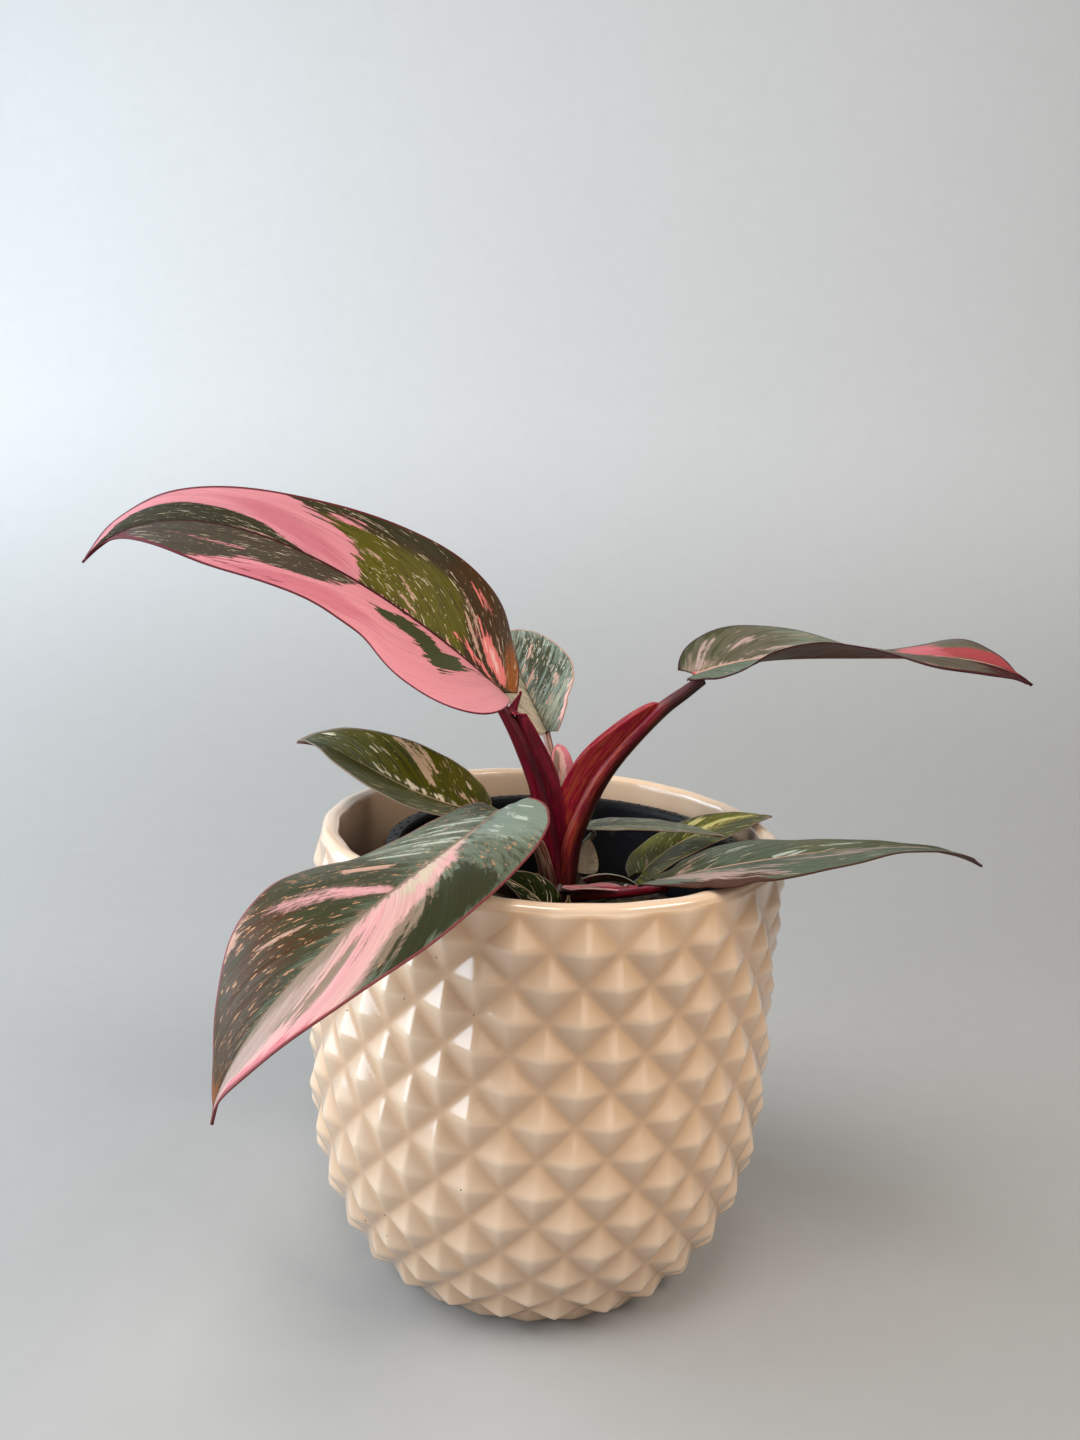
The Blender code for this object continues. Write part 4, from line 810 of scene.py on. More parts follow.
def blade_surface(leaf, along, across, bends):
    """A blade's middle surface, and each point's distance from the midrib and from the margin."""
    even = np.linspace(0.0, 1.0, MIDRIB_SAMPLES)
    length = leaf["length"]
    curves = midrib(leaf)
    shape = (len(along), len(across))
    grid = np.zeros((*shape, 3))
    from_rib = np.zeros(shape)
    from_edge = np.zeros(shape)
    for column, share in enumerate(across):
        half = -1 if share < 0 else 1
        reach, out = margin_line(leaf, half, along, bends)
        widest = max(leaf["left"] if half < 0 else leaf["right"])
        root = length * along**VEIN_SWEEP
        x = root + (reach - root) * abs(share)
        y = out * abs(share)
        at = (x / length).clip(0.0, 1.0)
        point, tangent, side, up = (
            np.stack([np.interp(at, even, curve[:, k]) for k in range(3)], axis=1) for curve in curves
        )
        rise = np.radians(smooth_values(leaf["fold"], at) - leaf["curl"] / widest * y / 2)
        beyond = np.minimum(x, 0.0) + np.maximum(x - length, 0.0)
        grid[:, column] = (
            point
            + half * side * (y * np.cos(rise))[:, None]
            + up * (y * np.sin(rise))[:, None]
            + tangent * beyond[:, None]
        )
        from_rib[:, column] = y
        from_edge[:, column] = out - y
    return grid, from_rib, from_edge


def grid_normals(grid):
    """The unit normal at each point of a grid."""
    down = np.gradient(grid, axis=0)
    over = np.gradient(grid, axis=1)
    normal = np.cross(over, down)
    size = np.linalg.norm(normal, axis=2)[..., None]
    return normal / np.maximum(size, 1e-12)


def ring_distance(points, ring):
    """The signed distance of each point from a closed outline, more than 0 inside it."""
    ring = np.array(ring)
    nearest = np.full(points.shape[:-1], 1e9)
    inside = np.zeros(points.shape[:-1], bool)
    for start, end in zip(ring, np.roll(ring, -1, axis=0)):
        edge = end - start
        offset = points - start
        share = ((offset @ edge) / (edge @ edge)).clip(0.0, 1.0)
        nearest = np.minimum(nearest, np.linalg.norm(offset - share[..., None] * edge, axis=-1))
        crosses = (start[1] > points[..., 1]) != (end[1] > points[..., 1])
        rise = end[1] - start[1] if end[1] != start[1] else 1e-12
        meets = start[0] + (points[..., 1] - start[1]) / rise * edge[0]
        inside ^= crosses & (points[..., 0] < meets)
    return np.where(inside, nearest, -nearest)


def outline_points(ring, scale):
    """An outline in mm: a ring of points as it is, or a streak as a thin leaf-like shape."""
    if len(ring) != 5:
        return np.array(ring).reshape(-1, 2) / 100 * scale
    start, end = np.array(ring[:4]).reshape(2, 2) / 100 * scale
    ahead = end - start
    beside = np.array([-ahead[1], ahead[0]]) / np.linalg.norm(ahead) * ring[4]
    return np.array([start, start + ahead * 0.3 + beside, end - ahead * 0.3 + beside * 0.8, end,
                     end - ahead * 0.25 - beside * 0.8, start + ahead * 0.35 - beside])


def new_mesh(name, points, faces, values):
    """A smooth mesh that keeps named values, numbers or vectors, at its points."""
    mesh = bpy.data.meshes.new(name)
    mesh.from_pydata(points, [], faces)
    mesh.polygons.foreach_set("use_smooth", np.ones(len(faces), bool))
    for key, value in values.items():
        value = np.asarray(value, np.float32)
        kind, field = ("FLOAT_VECTOR", "vector") if value.ndim > 1 else ("FLOAT", "value")
        mesh.attributes.new(key, kind, "POINT").data.foreach_set(field, value.ravel())
    mesh.update()
    return mesh


def sheet_mesh(name, top, bottom, values):
    """A closed sheet between two grids of points, with its values kept on both faces."""
    rows, columns = top.shape[:2]
    count = rows * columns
    index = np.arange(count).reshape(rows, columns)
    corners = (index[:-1, :-1], index[:-1, 1:], index[1:, 1:], index[1:, :-1])
    upper = np.stack(corners, axis=-1).reshape(-1, 4)
    lower = upper[:, ::-1] + count
    border = np.concatenate([index[0, :], index[1:, -1], index[-1, -2::-1], index[-2:0:-1, 0]])
    after = np.roll(border, -1)
    wall = np.stack([after, border, border + count, after + count], axis=1)
    points = np.concatenate([top.reshape(-1, 3), bottom.reshape(-1, 3)])
    both = {}
    for key, value in values.items():
        both[key] = np.concatenate([value.reshape(count, *value.shape[2:])] * 2)
    mesh = new_mesh(name, points.tolist(), np.concatenate([upper, lower, wall]).tolist(), both)
    slots = np.repeat([0, 1, 0], [len(upper), len(lower), len(wall)])
    mesh.polygons.foreach_set("material_index", slots.astype(np.int32))
    return mesh


def ring_mesh(name, rings, tips, values, first=0):
    """A closed mesh through rings of points, with a fan to a tip at each end.

    Each four-sided face starts from its corner number first, which sets how it is split in two.
    """
    rows, sides = rings.shape[:2]
    index = np.arange(rows * sides).reshape(rows, sides)
    beside = np.roll(index, -1, axis=1)
    corners = [index[:-1], beside[:-1], beside[1:], index[1:]]
    faces = np.stack(corners[first:] + corners[:first], axis=-1).reshape(-1, 4).tolist()
    faces += [(b, a, rows * sides) for a, b in zip(index[0].tolist(), beside[0].tolist())]
    faces += [(a, b, rows * sides + 1) for a, b in zip(index[-1].tolist(), beside[-1].tolist())]
    return new_mesh(name, [*rings.reshape(-1, 3).tolist(), *map(list, tips)], faces, values)


def link(name, data):
    """A new object, put into the scene."""
    obj = bpy.data.objects.new(name, data)
    bpy.context.scene.collection.objects.link(obj)
    return obj


def add_piece(name, mesh, materials, nodes):
    """Adds one piece to the body, with the nodes it replaces."""
    obj = link(name, mesh)
    for material in materials:
        mesh.materials.append(material)
    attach(obj, "root")
    if nodes:
        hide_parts(*nodes)


def make_leaf(name, leaf, look, number):
    """One blade, with the measures that its markings are drawn by."""
    rows, columns = look["grid"]
    along = np.linspace(0.0, 1.0, rows + 1)
    even = np.linspace(-1.0, 1.0, columns + 1)
    across = np.sign(even) * np.abs(even) ** 1.2
    grid, from_rib, from_edge = blade_surface(leaf, along, across, look.get("bends", ()))
    normal = grid_normals(grid)
    t, s = np.meshgrid(along, across, indexing="ij")
    width = (max(leaf["left"]) + max(leaf["right"])) / 2
    size = min(1.0, leaf["length"] / 0.1)

    phase = 1.7 * number
    ruffle = np.sin(31.0 * t + phase) * 0.6 + np.sin(53.0 * t + 2.3 * phase + 2.0 * np.sign(s)) * 0.4
    puff = np.sin((t - look["sweep"] * np.abs(s)) * leaf["length"] / MM * 0.75 + phase)
    lift = size * (MARGIN_RUFFLE * ruffle * s**2 + VEIN_PUFF * puff * np.sin(math.pi * np.abs(s)))
    rib_width = (0.00075 + 0.0006 * size) * (1.0 - 0.75 * t)
    groove = np.exp(-((from_rib / rib_width) ** 2))
    middle = grid + normal * lift[..., None]
    half_thick = EDGE_THICKNESS / 2 + (BLADE_THICKNESS - EDGE_THICKNESS) / 2 * (1 - np.abs(s) ** 3)
    top = middle + normal * (half_thick - MIDRIB_GROOVE * size * groove)[..., None]
    bottom = middle - normal * (half_thick + MIDRIB_RIDGE * size * (1 - t) ** 0.6 * groove)[..., None]

    outline = np.stack([t * leaf["length"], s * width], axis=-1) / MM
    scale = np.array([leaf["length"], width]) / MM
    values = {"rib": from_rib / (rib_width * 0.62), "edge": from_edge / MM / (0.2 + 0.8 * size)}
    for index, (_, _, _, *rings) in enumerate((*look.get("tones", ()), *look.get("patches", ()))):
        reach = [ring_distance(outline, outline_points(ring, scale)) for ring in rings]
        values["patch_%d" % index] = np.max(reach, axis=0)
    travel = (t - look["sweep"] * np.abs(s)) * leaf["length"] / MM
    out = np.abs(s) * width * math.hypot(1.0, look["sweep"]) / MM
    values["vein"] = np.stack([travel, out, number * 7.0 + 3.0 * (s > 0)], axis=-1)
    mesh = sheet_mesh(name, top, bottom, values)
    materials = [leaf_material(name + "_upper", look, False), leaf_material(name + "_under", look, True)]
    add_piece(name + "_blade", mesh, materials, [name])


def spline(route, count):
    """A Catmull-Rom curve through the route's points, read at even steps."""
    points = np.array(route)
    padded = np.vstack([2 * points[0] - points[1], points, 2 * points[-1] - points[-2]])
    spots = np.linspace(0.0, len(points) - 1 - 1e-9, count)
    curve = []
    for spot in spots:
        index = int(spot)
        t = spot - index
        before, start, end, after = padded[index : index + 4]
        curve.append(
            0.5 * (2 * start + (end - before) * t + (2 * before - 5 * start + 4 * end - after) * t**2
                   + (3 * start - before - 3 * end + after) * t**3)
        )
    return np.array(curve)


def petiole_route(leaf):
    """The stalk's route, with its end seated just under the base of the blade."""
    points, tangent, _, up = midrib(leaf)
    drop = BLADE_THICKNESS / 2 + leaf["stalk"][-1]
    seat = points[0] + tangent[0] * PETIOLE_SEAT - up[0] * drop
    return [*leaf["petiole"], tuple(seat)]


def directions(line):
    """The direction of travel at each point of a line."""
    tangent = np.gradient(line, axis=0)
    return tangent / np.linalg.norm(tangent, axis=1)[:, None]


def travelled(line):
    """How far along the line each of its points lies."""
    return np.concatenate([[0.0], np.cumsum(np.linalg.norm(np.diff(line, axis=0), axis=1))])


def tube_mesh(name, line, radius, sides, ripple, channel):
    """A closed tube round a line, rippled along its length, with a shallow channel on its upper side."""
    tangent = directions(line)
    first = np.cross(tangent[0], (0.0, 1.0, 0.0))
    across = [first / np.linalg.norm(first)]
    for direction in tangent[1:]:
        kept = across[-1] - direction * (across[-1] @ direction)
        across.append(kept / np.linalg.norm(kept))
    across = np.array(across)
    over = np.cross(tangent, across)
    angle = np.arange(sides) / sides * math.tau
    cos, sin = np.cos(angle), np.sin(angle)
    turned = angle[None, :] - np.arctan2(over[:, 2], across[:, 2])[:, None]
    size = radius[:, None] * (1 + ripple * np.sin(5 * angle + 0.6) + 0.5 * ripple * np.sin(11 * angle))
    size = size * (1 - channel * np.exp(-(((np.cos(turned) - 1) / 0.25) ** 2)))
    rings = line[:, None, :] + size[..., None] * (
        cos[None, :, None] * across[:, None, :] + sin[None, :, None] * over[:, None, :]
    )
    grain = np.stack([size * cos, size * sin, np.repeat(travelled(line)[:, None], sides, 1)], axis=-1)
    tips = [line[end] + order * tangent[end] * radius[end] * 0.35 for end, order in ((0, -1), (-1, 1))]
    grain = np.concatenate([grain.reshape(-1, 3), [grain[0].mean(axis=0), grain[-1].mean(axis=0)]]) / MM
    return ring_mesh(name, rings, tips, {"grain": grain, "edge": np.full(len(grain), 9.0)})


def make_petiole(name, leaf, material):
    """One leaf's stalk, grooved along its upper side."""
    count = 80
    line = spline(petiole_route(leaf), count)
    radius = smooth_values(leaf["stalk"], np.linspace(0.0, 1.0, count))
    mesh = tube_mesh(name, line, radius, sides=28, ripple=0.018, channel=0.10)
    add_piece(name, mesh, [material], ["stem"])


def make_sheath(name, sheath, materials):
    """A petiole's winged sheath: a trough along a route, closing to a point."""
    rows, columns = 90, 36
    along = np.linspace(0.0, 1.0, rows + 1)
    line = spline(sheath["route"], rows + 1)
    side, up = side_and_up(directions(line), np.zeros(rows + 1))
    width = smooth_values(sheath["half_width"], along)
    width *= np.maximum(np.sin(math.pi * (SHEATH_START + (1 - SHEATH_START) * along)), 0.0) ** SHEATH_ROUND
    width = np.maximum(width, TIP_HALF_WIDTH)
    grid = np.zeros((rows + 1, columns + 1, 3))
    across = np.linspace(-1.0, 1.0, columns + 1)
    for column, share in enumerate(across):
        y = width * abs(share)
        rise = np.radians(smooth_values(sheath["fold"], along) - sheath["curl"] * abs(share) / 2)
        sign = -1.0 if share < 0 else 1.0
        grid[:, column] = (
            line + sign * side * (y * np.cos(rise))[:, None] + up * (y * np.sin(rise))[:, None]
        )
    normal = grid_normals(grid)
    travel = np.repeat(travelled(line)[:, None] / MM, columns + 1, 1)
    s = np.repeat(across[None, :], rows + 1, 0)
    y = s * width[:, None] / MM
    wave = 0.00010 * np.sin(9.0 * s + 0.04 * travel)
    thick = SHEATH_THICKNESS / 2 * (1 - 0.6 * np.abs(s) ** 3)
    top = grid + normal * (thick + wave)[..., None]
    bottom = grid - normal * (thick - wave)[..., None]
    grain = np.stack([y, np.full_like(y, 4.0), travel], axis=-1)
    values = {"edge": width[:, None] / MM - np.abs(y), "grain": grain}
    add_piece(name, sheet_mesh(name, top, bottom, values), materials, ["stem"])


def make_stem(material):
    """The short stem, with a low swelling at each knot."""
    x, y = STEM_CENTRE
    route = [(x, y, STEM_FOOT), (x, y, 0.098), (x, y, 0.108), (x, y, 0.113), (x + 0.0004, y, 0.117)]
    count = 110
    line = spline(route, count)
    radius = smooth_values((STEM_RADIUS, STEM_RADIUS, STEM_RADIUS, 0.0030), np.linspace(0.0, 1.0, count))
    for height in STEM_KNOTS:
        radius = radius + KNOT_SWELL * np.exp(-(((line[:, 2] - height) / KNOT_SPREAD) ** 2))
    mesh = tube_mesh("stem_cane", line, radius, sides=40, ripple=0.02, channel=0.0)
    add_piece("stem_cane", mesh, [material], ["stem"])


def pot_radius(height):
    """The radius of the cover pot where its diamonds meet: a rounded belly below a slight waist."""
    if height < BELLY_HEIGHT:
        down = 1.0 - height / BELLY_HEIGHT
        return POT_RADIUS * (1.0 - FOOT_PULL * down**BELLY_CURVE)
    up = (height - BELLY_HEIGHT) / (POT_HEIGHT - BELLY_HEIGHT)
    return POT_RADIUS - WAIST * math.sin(math.pi * up)


def pot_rows():
    """Heights of the lattice rows, stepping down the wall in proportion to the radius there."""
    heights = [FIRST_ROW_HEIGHT + ROW_STEP, FIRST_ROW_HEIGHT]
    while len(heights) < RELIEF_ROWS + 1:
        height = heights[-1]
        radius = pot_radius(height)
        slope = (pot_radius(height) - pot_radius(height - MM)) / MM
        step = ROW_STEP * radius / POT_RADIUS
        heights.append(height - step / math.hypot(1.0, slope))
    return [height for height in heights if height > LOWEST_ROW_HEIGHT]


def row_relief(row, rows):
    """How deep the relief is in one row of diamonds."""
    if row < 0 or row > rows - 1:
        return 0.0
    if row == 0:
        return RIM_RELIEF
    return FOOT_RELIEF if row == rows - 1 else RELIEF


def diamond_height(column, row, rows):
    """How far the relief stands out, for arrays of lattice columns and one row (both may be fractions)."""
    p = (column + row) / 2
    q = (column - row) / 2
    near_p, near_q = np.round(p), np.round(q)
    dp, dq = 2 * np.abs(p - near_p), 2 * np.abs(q - near_q)
    from_peak = (dp**RIDGE_SHARPNESS + dq**RIDGE_SHARPNESS) ** (1 / RIDGE_SHARPNESS)
    from_peak = np.sqrt(from_peak**2 + PEAK_SOFTNESS**2)
    above_valley = np.maximum(1 + 0.5 * PEAK_SOFTNESS - from_peak, 0.0)
    height = np.sqrt(above_valley**2 + VALLEY_SOFTNESS**2) - VALLEY_SOFTNESS
    relief = np.array([row_relief(int(r), rows) for r in near_p - near_q])
    return height * relief, height


def make_cover_pot(material):
    """The cover pot as rings: its foot, the relief going up, over the rim and down the inside."""
    heights = pot_rows()
    rows = len(heights)
    columns = DIAMONDS_ROUND * STEPS_PER_DIAMOND
    lattice = np.arange(columns) / columns * 2 * DIAMONDS_ROUND
    angle = np.arange(columns) / columns * math.tau + LATTICE_TURN
    rings = []

    def add_ring(radius, height, thick=0.3, bare=0.0):
        rings.append([np.broadcast_to(value, columns) for value in (radius, height, thick, bare)])

    inner_foot = POT_FOOT_RADIUS - FOOT_RING_WIDTH
    for radius, height in (
        (FLOOR_CENTRE, FOOT_RING_DEPTH), (inner_foot - 0.0015, FOOT_RING_DEPTH),
        (inner_foot, FOOT_RING_DEPTH * 0.3), (inner_foot + FOOT_EDGE, 0.0),
        (POT_FOOT_RADIUS - FOOT_EDGE, 0.0), (POT_FOOT_RADIUS, 0.0002),
    ):
        add_ring(radius, height, 0.0, 1.0)
    for step in range((rows - 1) * STEPS_PER_ROW, -1, -1):
        row = step / STEPS_PER_ROW
        height = float(np.interp(row, range(rows), heights))
        out, share = diamond_height(lattice, row, rows)
        slope = (pot_radius(height + MM) - pot_radius(height - MM)) / (2 * MM)
        lean = math.hypot(1.0, slope)
        # The last value is 1 in the creases: pooled glaze there, and painted crease shade.
        add_ring(pot_radius(height) + out / lean, height - out * slope / lean, 1 - share)
    scallop = np.cos(lattice * math.pi)
    rim = [(pot_radius(heights[0]), heights[0])]
    rim += [(POT_RADIUS - inward, POT_HEIGHT - down) for inward, down in reversed(RIM_CURVE)]
    inner_heights = np.linspace(POT_HEIGHT - RIM_DEPTH, POT_FLOOR + FLOOR_ROUND, 14)
    rim += [(pot_radius(h) - POT_WALL, float(h)) for h in inner_heights[:2]]
    for number, (radius, _, height) in enumerate(spline([(r, 0.0, h) for r, h in rim], 34)[1:]):
        fade = min(1.0, number / 16)
        add_ring(radius + (RIM_WAVE * (1 - fade) + INNER_FACETS * fade) * scallop, height)
    for height in inner_heights[2:]:
        depth = (inner_heights[0] - height) / (inner_heights[0] - inner_heights[-1])
        add_ring(pot_radius(height) - POT_WALL + INNER_FACETS * (1 - depth) * scallop, height)
    wall = pot_radius(POT_FLOOR + FLOOR_ROUND) - POT_WALL
    floor_edge = pot_radius(POT_FLOOR) - POT_WALL - FLOOR_ROUND / 2
    for turn in np.linspace(0.15, 1.0, 6) * math.pi / 2:
        radius = wall + (floor_edge - wall) * (1 - math.cos(turn))
        add_ring(radius, POT_FLOOR + FLOOR_ROUND * (1 - math.sin(turn)))
    add_ring(3 * FLOOR_CENTRE, POT_FLOOR)
    add_ring(FLOOR_CENTRE, POT_FLOOR)
    radius, height, thick, bare = np.array(rings).transpose(1, 0, 2)
    points = np.stack([radius * np.cos(angle), radius * np.sin(angle), height], axis=-1)
    tips = [(0.0, 0.0, height[0, 0]), (0.0, 0.0, height[-1, 0])]
    values = {"thick": [*thick.ravel(), 0.0, 0.3], "bare": [*bare.ravel(), 1.0, 0.0]}
    mesh = ring_mesh("cover_pot_glazed", points, tips, values)
    add_piece("cover_pot_glazed", mesh, [material], ["cover_pot"])


def turned_mesh(name, profile, steps, centre):
    """A profile of (radius, height) points from axis to axis, turned round a vertical line."""
    angle = np.arange(steps) / steps * math.tau
    around = np.stack([np.cos(angle), np.sin(angle), 0.0 * angle], axis=1)
    levels = [np.array([*centre, height]) for _, height in profile]
    rings = [level + radius * around for level, (radius, _) in zip(levels, profile)][1:-1]
    return ring_mesh(name, np.array(rings), (levels[0], levels[-1]), {}, first=1)


def nursery_spot(out, angle):
    """A point in plan, at a distance from the nursery pot's middle."""
    return NURSERY_CENTRE[0] + out * math.cos(angle), NURSERY_CENTRE[1] + out * math.sin(angle)


def make_nursery_pot(material):
    """The nursery pot turned from its profile, from the middle of its underside up and over its rim."""
    base = POT_FLOOR + GAP
    floor = base + NURSERY_WALL
    shoulder = NURSERY_TOP - NURSERY_SKIRT
    foot, rim, top = NURSERY_BASE_RADIUS, NURSERY_RIM_RADIUS, NURSERY_TOP
    inside = rim - NURSERY_RIM_WIDTH
    profile = [
        (0.0, base), (foot - MM, base), (foot, base + MM), (NURSERY_SHOULDER_RADIUS, shoulder - MM),
        (rim - 0.0005, shoulder), (rim - 0.0002, top - 0.004), (rim, top - MM),
        (rim - 0.0003, top - 0.0003), (rim - MM, top), (inside + 0.0009, top - 0.0001),
        (inside + 0.0003, top - 0.0004), (inside, top - 0.0012), (inside - 0.0002, top - 0.0022),
        (inside - 0.0004, shoulder + 0.0012),
    ]
    profile += [
        (foot - NURSERY_WALL + share * (NURSERY_SHOULDER_RADIUS - foot - 0.0006),
         floor + MM + share * (shoulder - floor - MM))
        for share in np.linspace(1.0, 0.0, 12)
    ]
    profile += [(foot - NURSERY_WALL - MM, floor), (0.0, floor)]
    name = "nursery_pot_shell"
    shell = link(name, turned_mesh(name, profile, NURSERY_STEPS, NURSERY_CENTRE))
    low, high = base - DRAIN_CUT, base + DRAIN_CUT
    column = [(0.0, low), (DRAIN_HOLE_RADIUS, low), (DRAIN_HOLE_RADIUS, high), (0.0, high)]
    cutters = []
    for hole in range(DRAIN_HOLES):
        spot = nursery_spot(DRAIN_RING_RADIUS, math.tau * (hole + 0.25) / DRAIN_HOLES)
        cutters.append(link("drain", turned_mesh("drain", column, 32, spot)))
        cut = shell.modifiers.new("drain", "BOOLEAN")
        cut.operation = "DIFFERENCE"
        cut.object = cutters[-1]
    bpy.context.view_layer.update()
    graph = bpy.context.evaluated_depsgraph_get()
    mesh = bpy.data.meshes.new_from_object(shell.evaluated_get(graph))
    for obj in (shell, *cutters):
        bpy.data.objects.remove(obj, do_unlink=True)
    mesh.shade_smooth()
    mesh.set_sharp_from_angle(angle=math.radians(38))
    mesh.materials.clear()
    add_piece(name, mesh, [material], ["nursery_pot"])


def make_rim_dots(material):
    """The small moulded dots on the flat top of the nursery pot's rim."""
    work = bmesh.new()
    ring = NURSERY_RIM_RADIUS - NURSERY_RIM_WIDTH / 2
    for dot in range(RIM_DOTS):
        angle = dot / RIM_DOTS * math.tau
        spot = (*nursery_spot(ring + RIM_DOT_ROWS[dot % 2], angle), NURSERY_TOP)
        place = Matrix.Translation(spot) @ Matrix.Diagonal((1.0, 1.0, 0.35, 1.0))
        bmesh.ops.create_icosphere(work, subdivisions=2, radius=RIM_DOT_RADIUS, matrix=place)
    mesh = bpy.data.meshes.new("nursery_rim_dots")
    work.to_mesh(mesh)
    work.free()
    mesh.shade_smooth()
    add_piece("nursery_rim_dots", mesh, [material], [])


def soil_height(x, y):
    """The level of the soil at a point: a slow swell, lumps and crumbs."""
    from_centre = np.hypot(x, y)
    lump = np.sin(x * 310 + 1.3) * np.cos(y * 270 + 0.4) + 0.6 * np.sin(x * 690 + y * 520)
    crumb = np.sin(x * 1900 + 3 * np.sin(y * 900)) * np.sin(y * 2100 + 2 * np.cos(x * 1100))
    level = SOIL_TOP - 0.0016 * (from_centre / 0.05) ** 2
    return level + SOIL_ROUGHNESS * (0.35 * lump + 0.30 * crumb)


def nursery_inner_radius(height):
    """The radius that the soil fills at a height."""
    base = POT_FLOOR + GAP
    shoulder = NURSERY_TOP - NURSERY_SKIRT
    share = (height - base) / (shoulder - base)
    outer = NURSERY_BASE_RADIUS + share * (NURSERY_SHOULDER_RADIUS - NURSERY_BASE_RADIUS)
    return outer - NURSERY_WALL - SOIL_CLEARANCE


def make_soil(material):
    """The potting mix: a lumpy bed that fills the nursery pot, from its floor up to its middle."""
    floor = POT_FLOOR + 2 * GAP + NURSERY_WALL
    edge = nursery_inner_radius(SOIL_TOP)
    count, steps = 56, 160
    angle = np.arange(steps) / steps * math.tau
    cos, sin = np.cos(angle), np.sin(angle)
    rings = []
    for height in np.linspace(floor, SOIL_TOP - SOIL_SHOULDER, 8):
        radius = nursery_inner_radius(height)
        rings.append(np.stack([radius * cos, radius * sin, np.full(steps, height)], axis=1))
    for ring in range(count, 0, -1):
        x, y = edge * ring / count * cos, edge * ring / count * sin
        z = soil_height(x, y) - (SOIL_EDGE_DROP if ring == count else 0.0)
        rings.append(np.stack([x, y, z], axis=1))
    rings = np.array(rings) + np.array([*NURSERY_CENTRE, 0.0])
    tips = [(*NURSERY_CENTRE, floor), (*NURSERY_CENTRE, float(soil_height(0.0, 0.0)))]
    mesh = ring_mesh("soil_bed", rings, tips, {}, first=1)
    add_piece("soil_bed", mesh, [material], ["soil"])


def make_crumbs(name, count, sizes, flat, seed, material):
    """Chips of bark or perlite that lie half sunk in the soil."""
    dice = random.Random(seed)
    work = bmesh.new()
    edge = nursery_inner_radius(SOIL_TOP) - CRUMB_INSET
    for _ in range(count):
        out = edge * math.sqrt(dice.random())
        turn = dice.random() * math.tau
        x, y = out * math.cos(turn), out * math.sin(turn)
        size = dice.uniform(*sizes)
        level = float(soil_height(x, y)) + size * flat * 0.2
        spot = Vector((*nursery_spot(out, turn), level))
        if math.hypot(spot.x - STEM_CENTRE[0], spot.y - STEM_CENTRE[1]) < STEM_RADIUS + size:
            continue
        tilt = Matrix.Rotation(dice.uniform(-0.35, 0.35), 4, "X")
        tilt = tilt @ Matrix.Rotation(dice.random() * math.tau, 4, "Z")
        shape = Matrix.Diagonal((1.0, dice.uniform(0.5, 0.9), flat, 1.0))
        place = Matrix.Translation(spot) @ tilt @ shape
        made = bmesh.ops.create_icosphere(work, subdivisions=2, radius=size, matrix=place)
        for vert in made["verts"]:
            knock = 1.0 + dice.uniform(-0.22, 0.22)
            vert.co = spot + (vert.co - spot) * knock
    mesh = bpy.data.meshes.new(name)
    work.to_mesh(mesh)
    work.free()
    mesh.shade_smooth()
    mesh.set_sharp_from_angle(angle=math.radians(32))
    add_piece(name, mesh, [material], [])


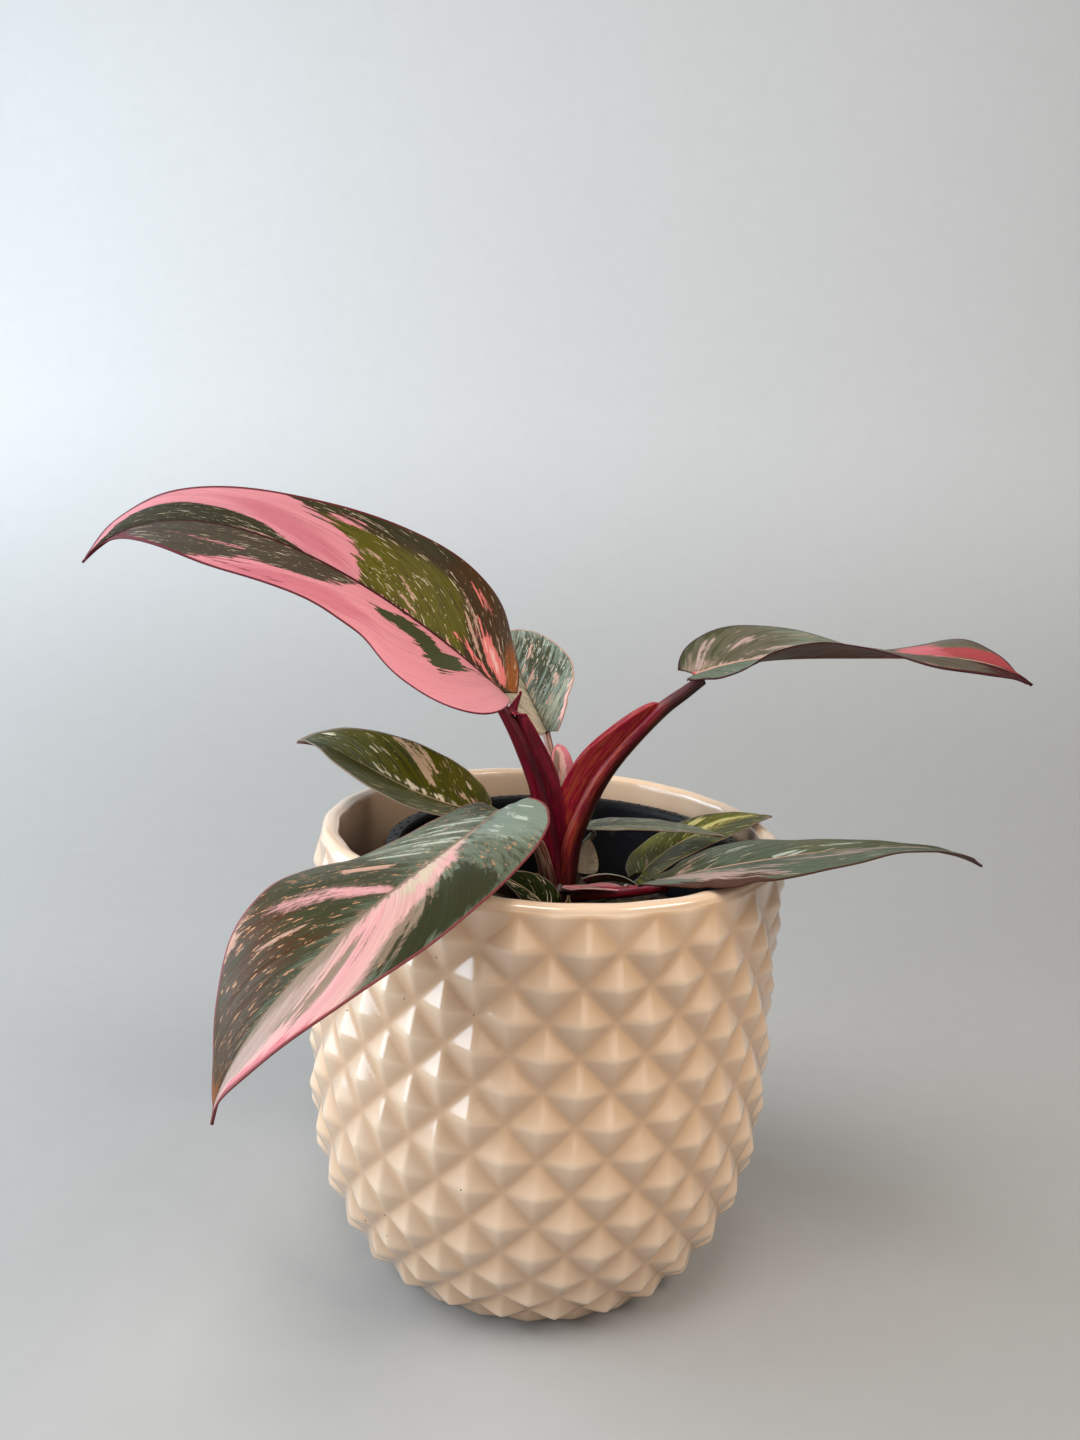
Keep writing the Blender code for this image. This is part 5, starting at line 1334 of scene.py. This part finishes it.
def make_studio():
    """A plain pale floor that turns up into a plain backdrop, with its lights."""
    width, front, back, top, bend = 3.0, -1.6, 0.75, 2.2, 0.5
    line = [(front, 0.0), (back - bend, 0.0)]
    for turn in np.arange(1, 13) / 12 * math.pi / 2:
        line.append((back - bend + bend * math.sin(turn), bend - bend * math.cos(turn)))
    line.append((back, top))
    points = [(side * width, y, z) for y, z in line for side in (-1, 1)]
    faces = [(2 * k, 2 * k + 1, 2 * k + 3, 2 * k + 2) for k in range(len(line) - 1)]
    studio = link("studio", new_mesh("studio", points, faces, {}))
    studio.data.materials.append(studio_material("studio_paper", (158, 156, 153), (193, 192, 190), 0.85))
    for name, (place, size, power, colour) in LIGHTS.items():
        light = bpy.data.lights.new(name, "AREA")
        light.shape = "RECTANGLE"
        light.size, light.size_y = size
        light.energy = power
        light.color = colour
        lamp = link(name, light)
        lamp.location = place
        aim = Vector(LIGHT_TARGET) - Vector(place)
        lamp.rotation_euler = aim.to_track_quat("-Z", "Y").to_euler()
    world = bpy.data.worlds.new("studio_air")
    world.use_nodes = True
    sky = world.node_tree.nodes["Background"]
    sky.inputs["Color"].default_value = (0.93, 0.95, 1.0, 1.0)
    sky.inputs["Strength"].default_value = 0.16
    bpy.context.scene.world = world
    bpy.context.scene.view_settings.view_transform = "Standard"


def make_camera():
    """The camera, placed and turned as its constants say."""
    yaw, pitch, roll = (math.radians(a) for a in (CAMERA_YAW, CAMERA_PITCH, CAMERA_ROLL))
    ahead = Vector((math.sin(yaw) * math.cos(pitch), math.cos(yaw) * math.cos(pitch), -math.sin(pitch)))
    right = Vector((math.cos(yaw), -math.sin(yaw), 0.0))
    up = right.cross(ahead)
    tilted_right = right * math.cos(roll) + up * math.sin(roll)
    tilted_up = up * math.cos(roll) - right * math.sin(roll)
    data = bpy.data.cameras.new("camera")
    data.sensor_width = CAMERA_SENSOR
    data.lens = CAMERA_FOCAL
    data.clip_start = 0.01
    camera = link("camera", data)
    turn = Matrix((tilted_right, tilted_up, -ahead)).transposed().to_4x4()
    camera.matrix_world = Matrix.Translation(CAMERA_PLACE) @ turn
    bpy.context.scene.camera = camera


def main():
    make_camera()
    make_studio()
    for number, (name, leaf) in enumerate(LEAVES.items()):
        make_leaf(name, leaf, LOOKS[name], number)
    skins = {name: stalk_material(name, **look) for name, look in STALK_LOOKS.items()}
    for name, leaf in LEAVES.items():
        if "petiole" in leaf:
            make_petiole(name.replace("leaf", "petiole"), leaf, skins[STALKS.get(name, "stalk_bright")])
    for name, sheath in SHEATHS.items():
        make_sheath(name, sheath, [skins[wing] for wing in WINGS[name]])
    make_stem(skins["stalk_trunk"])
    make_cover_pot(glaze_material())
    plastic = plastic_material()
    make_nursery_pot(plastic)
    make_rim_dots(plastic)
    make_soil(soil_material("potting_soil", (26, 18, 12), (66, 46, 30)))
    bark = soil_material("bark", (58, 36, 20), (108, 74, 46))
    make_crumbs("bark_chips", count=150, sizes=(0.0010, 0.0028), flat=0.45, seed=4, material=bark)
    grain = soil_material("perlite_grain", (170, 162, 148), (214, 208, 198))
    make_crumbs("perlite", count=60, sizes=(0.0006, 0.0015), flat=0.9, seed=9, material=grain)


main()
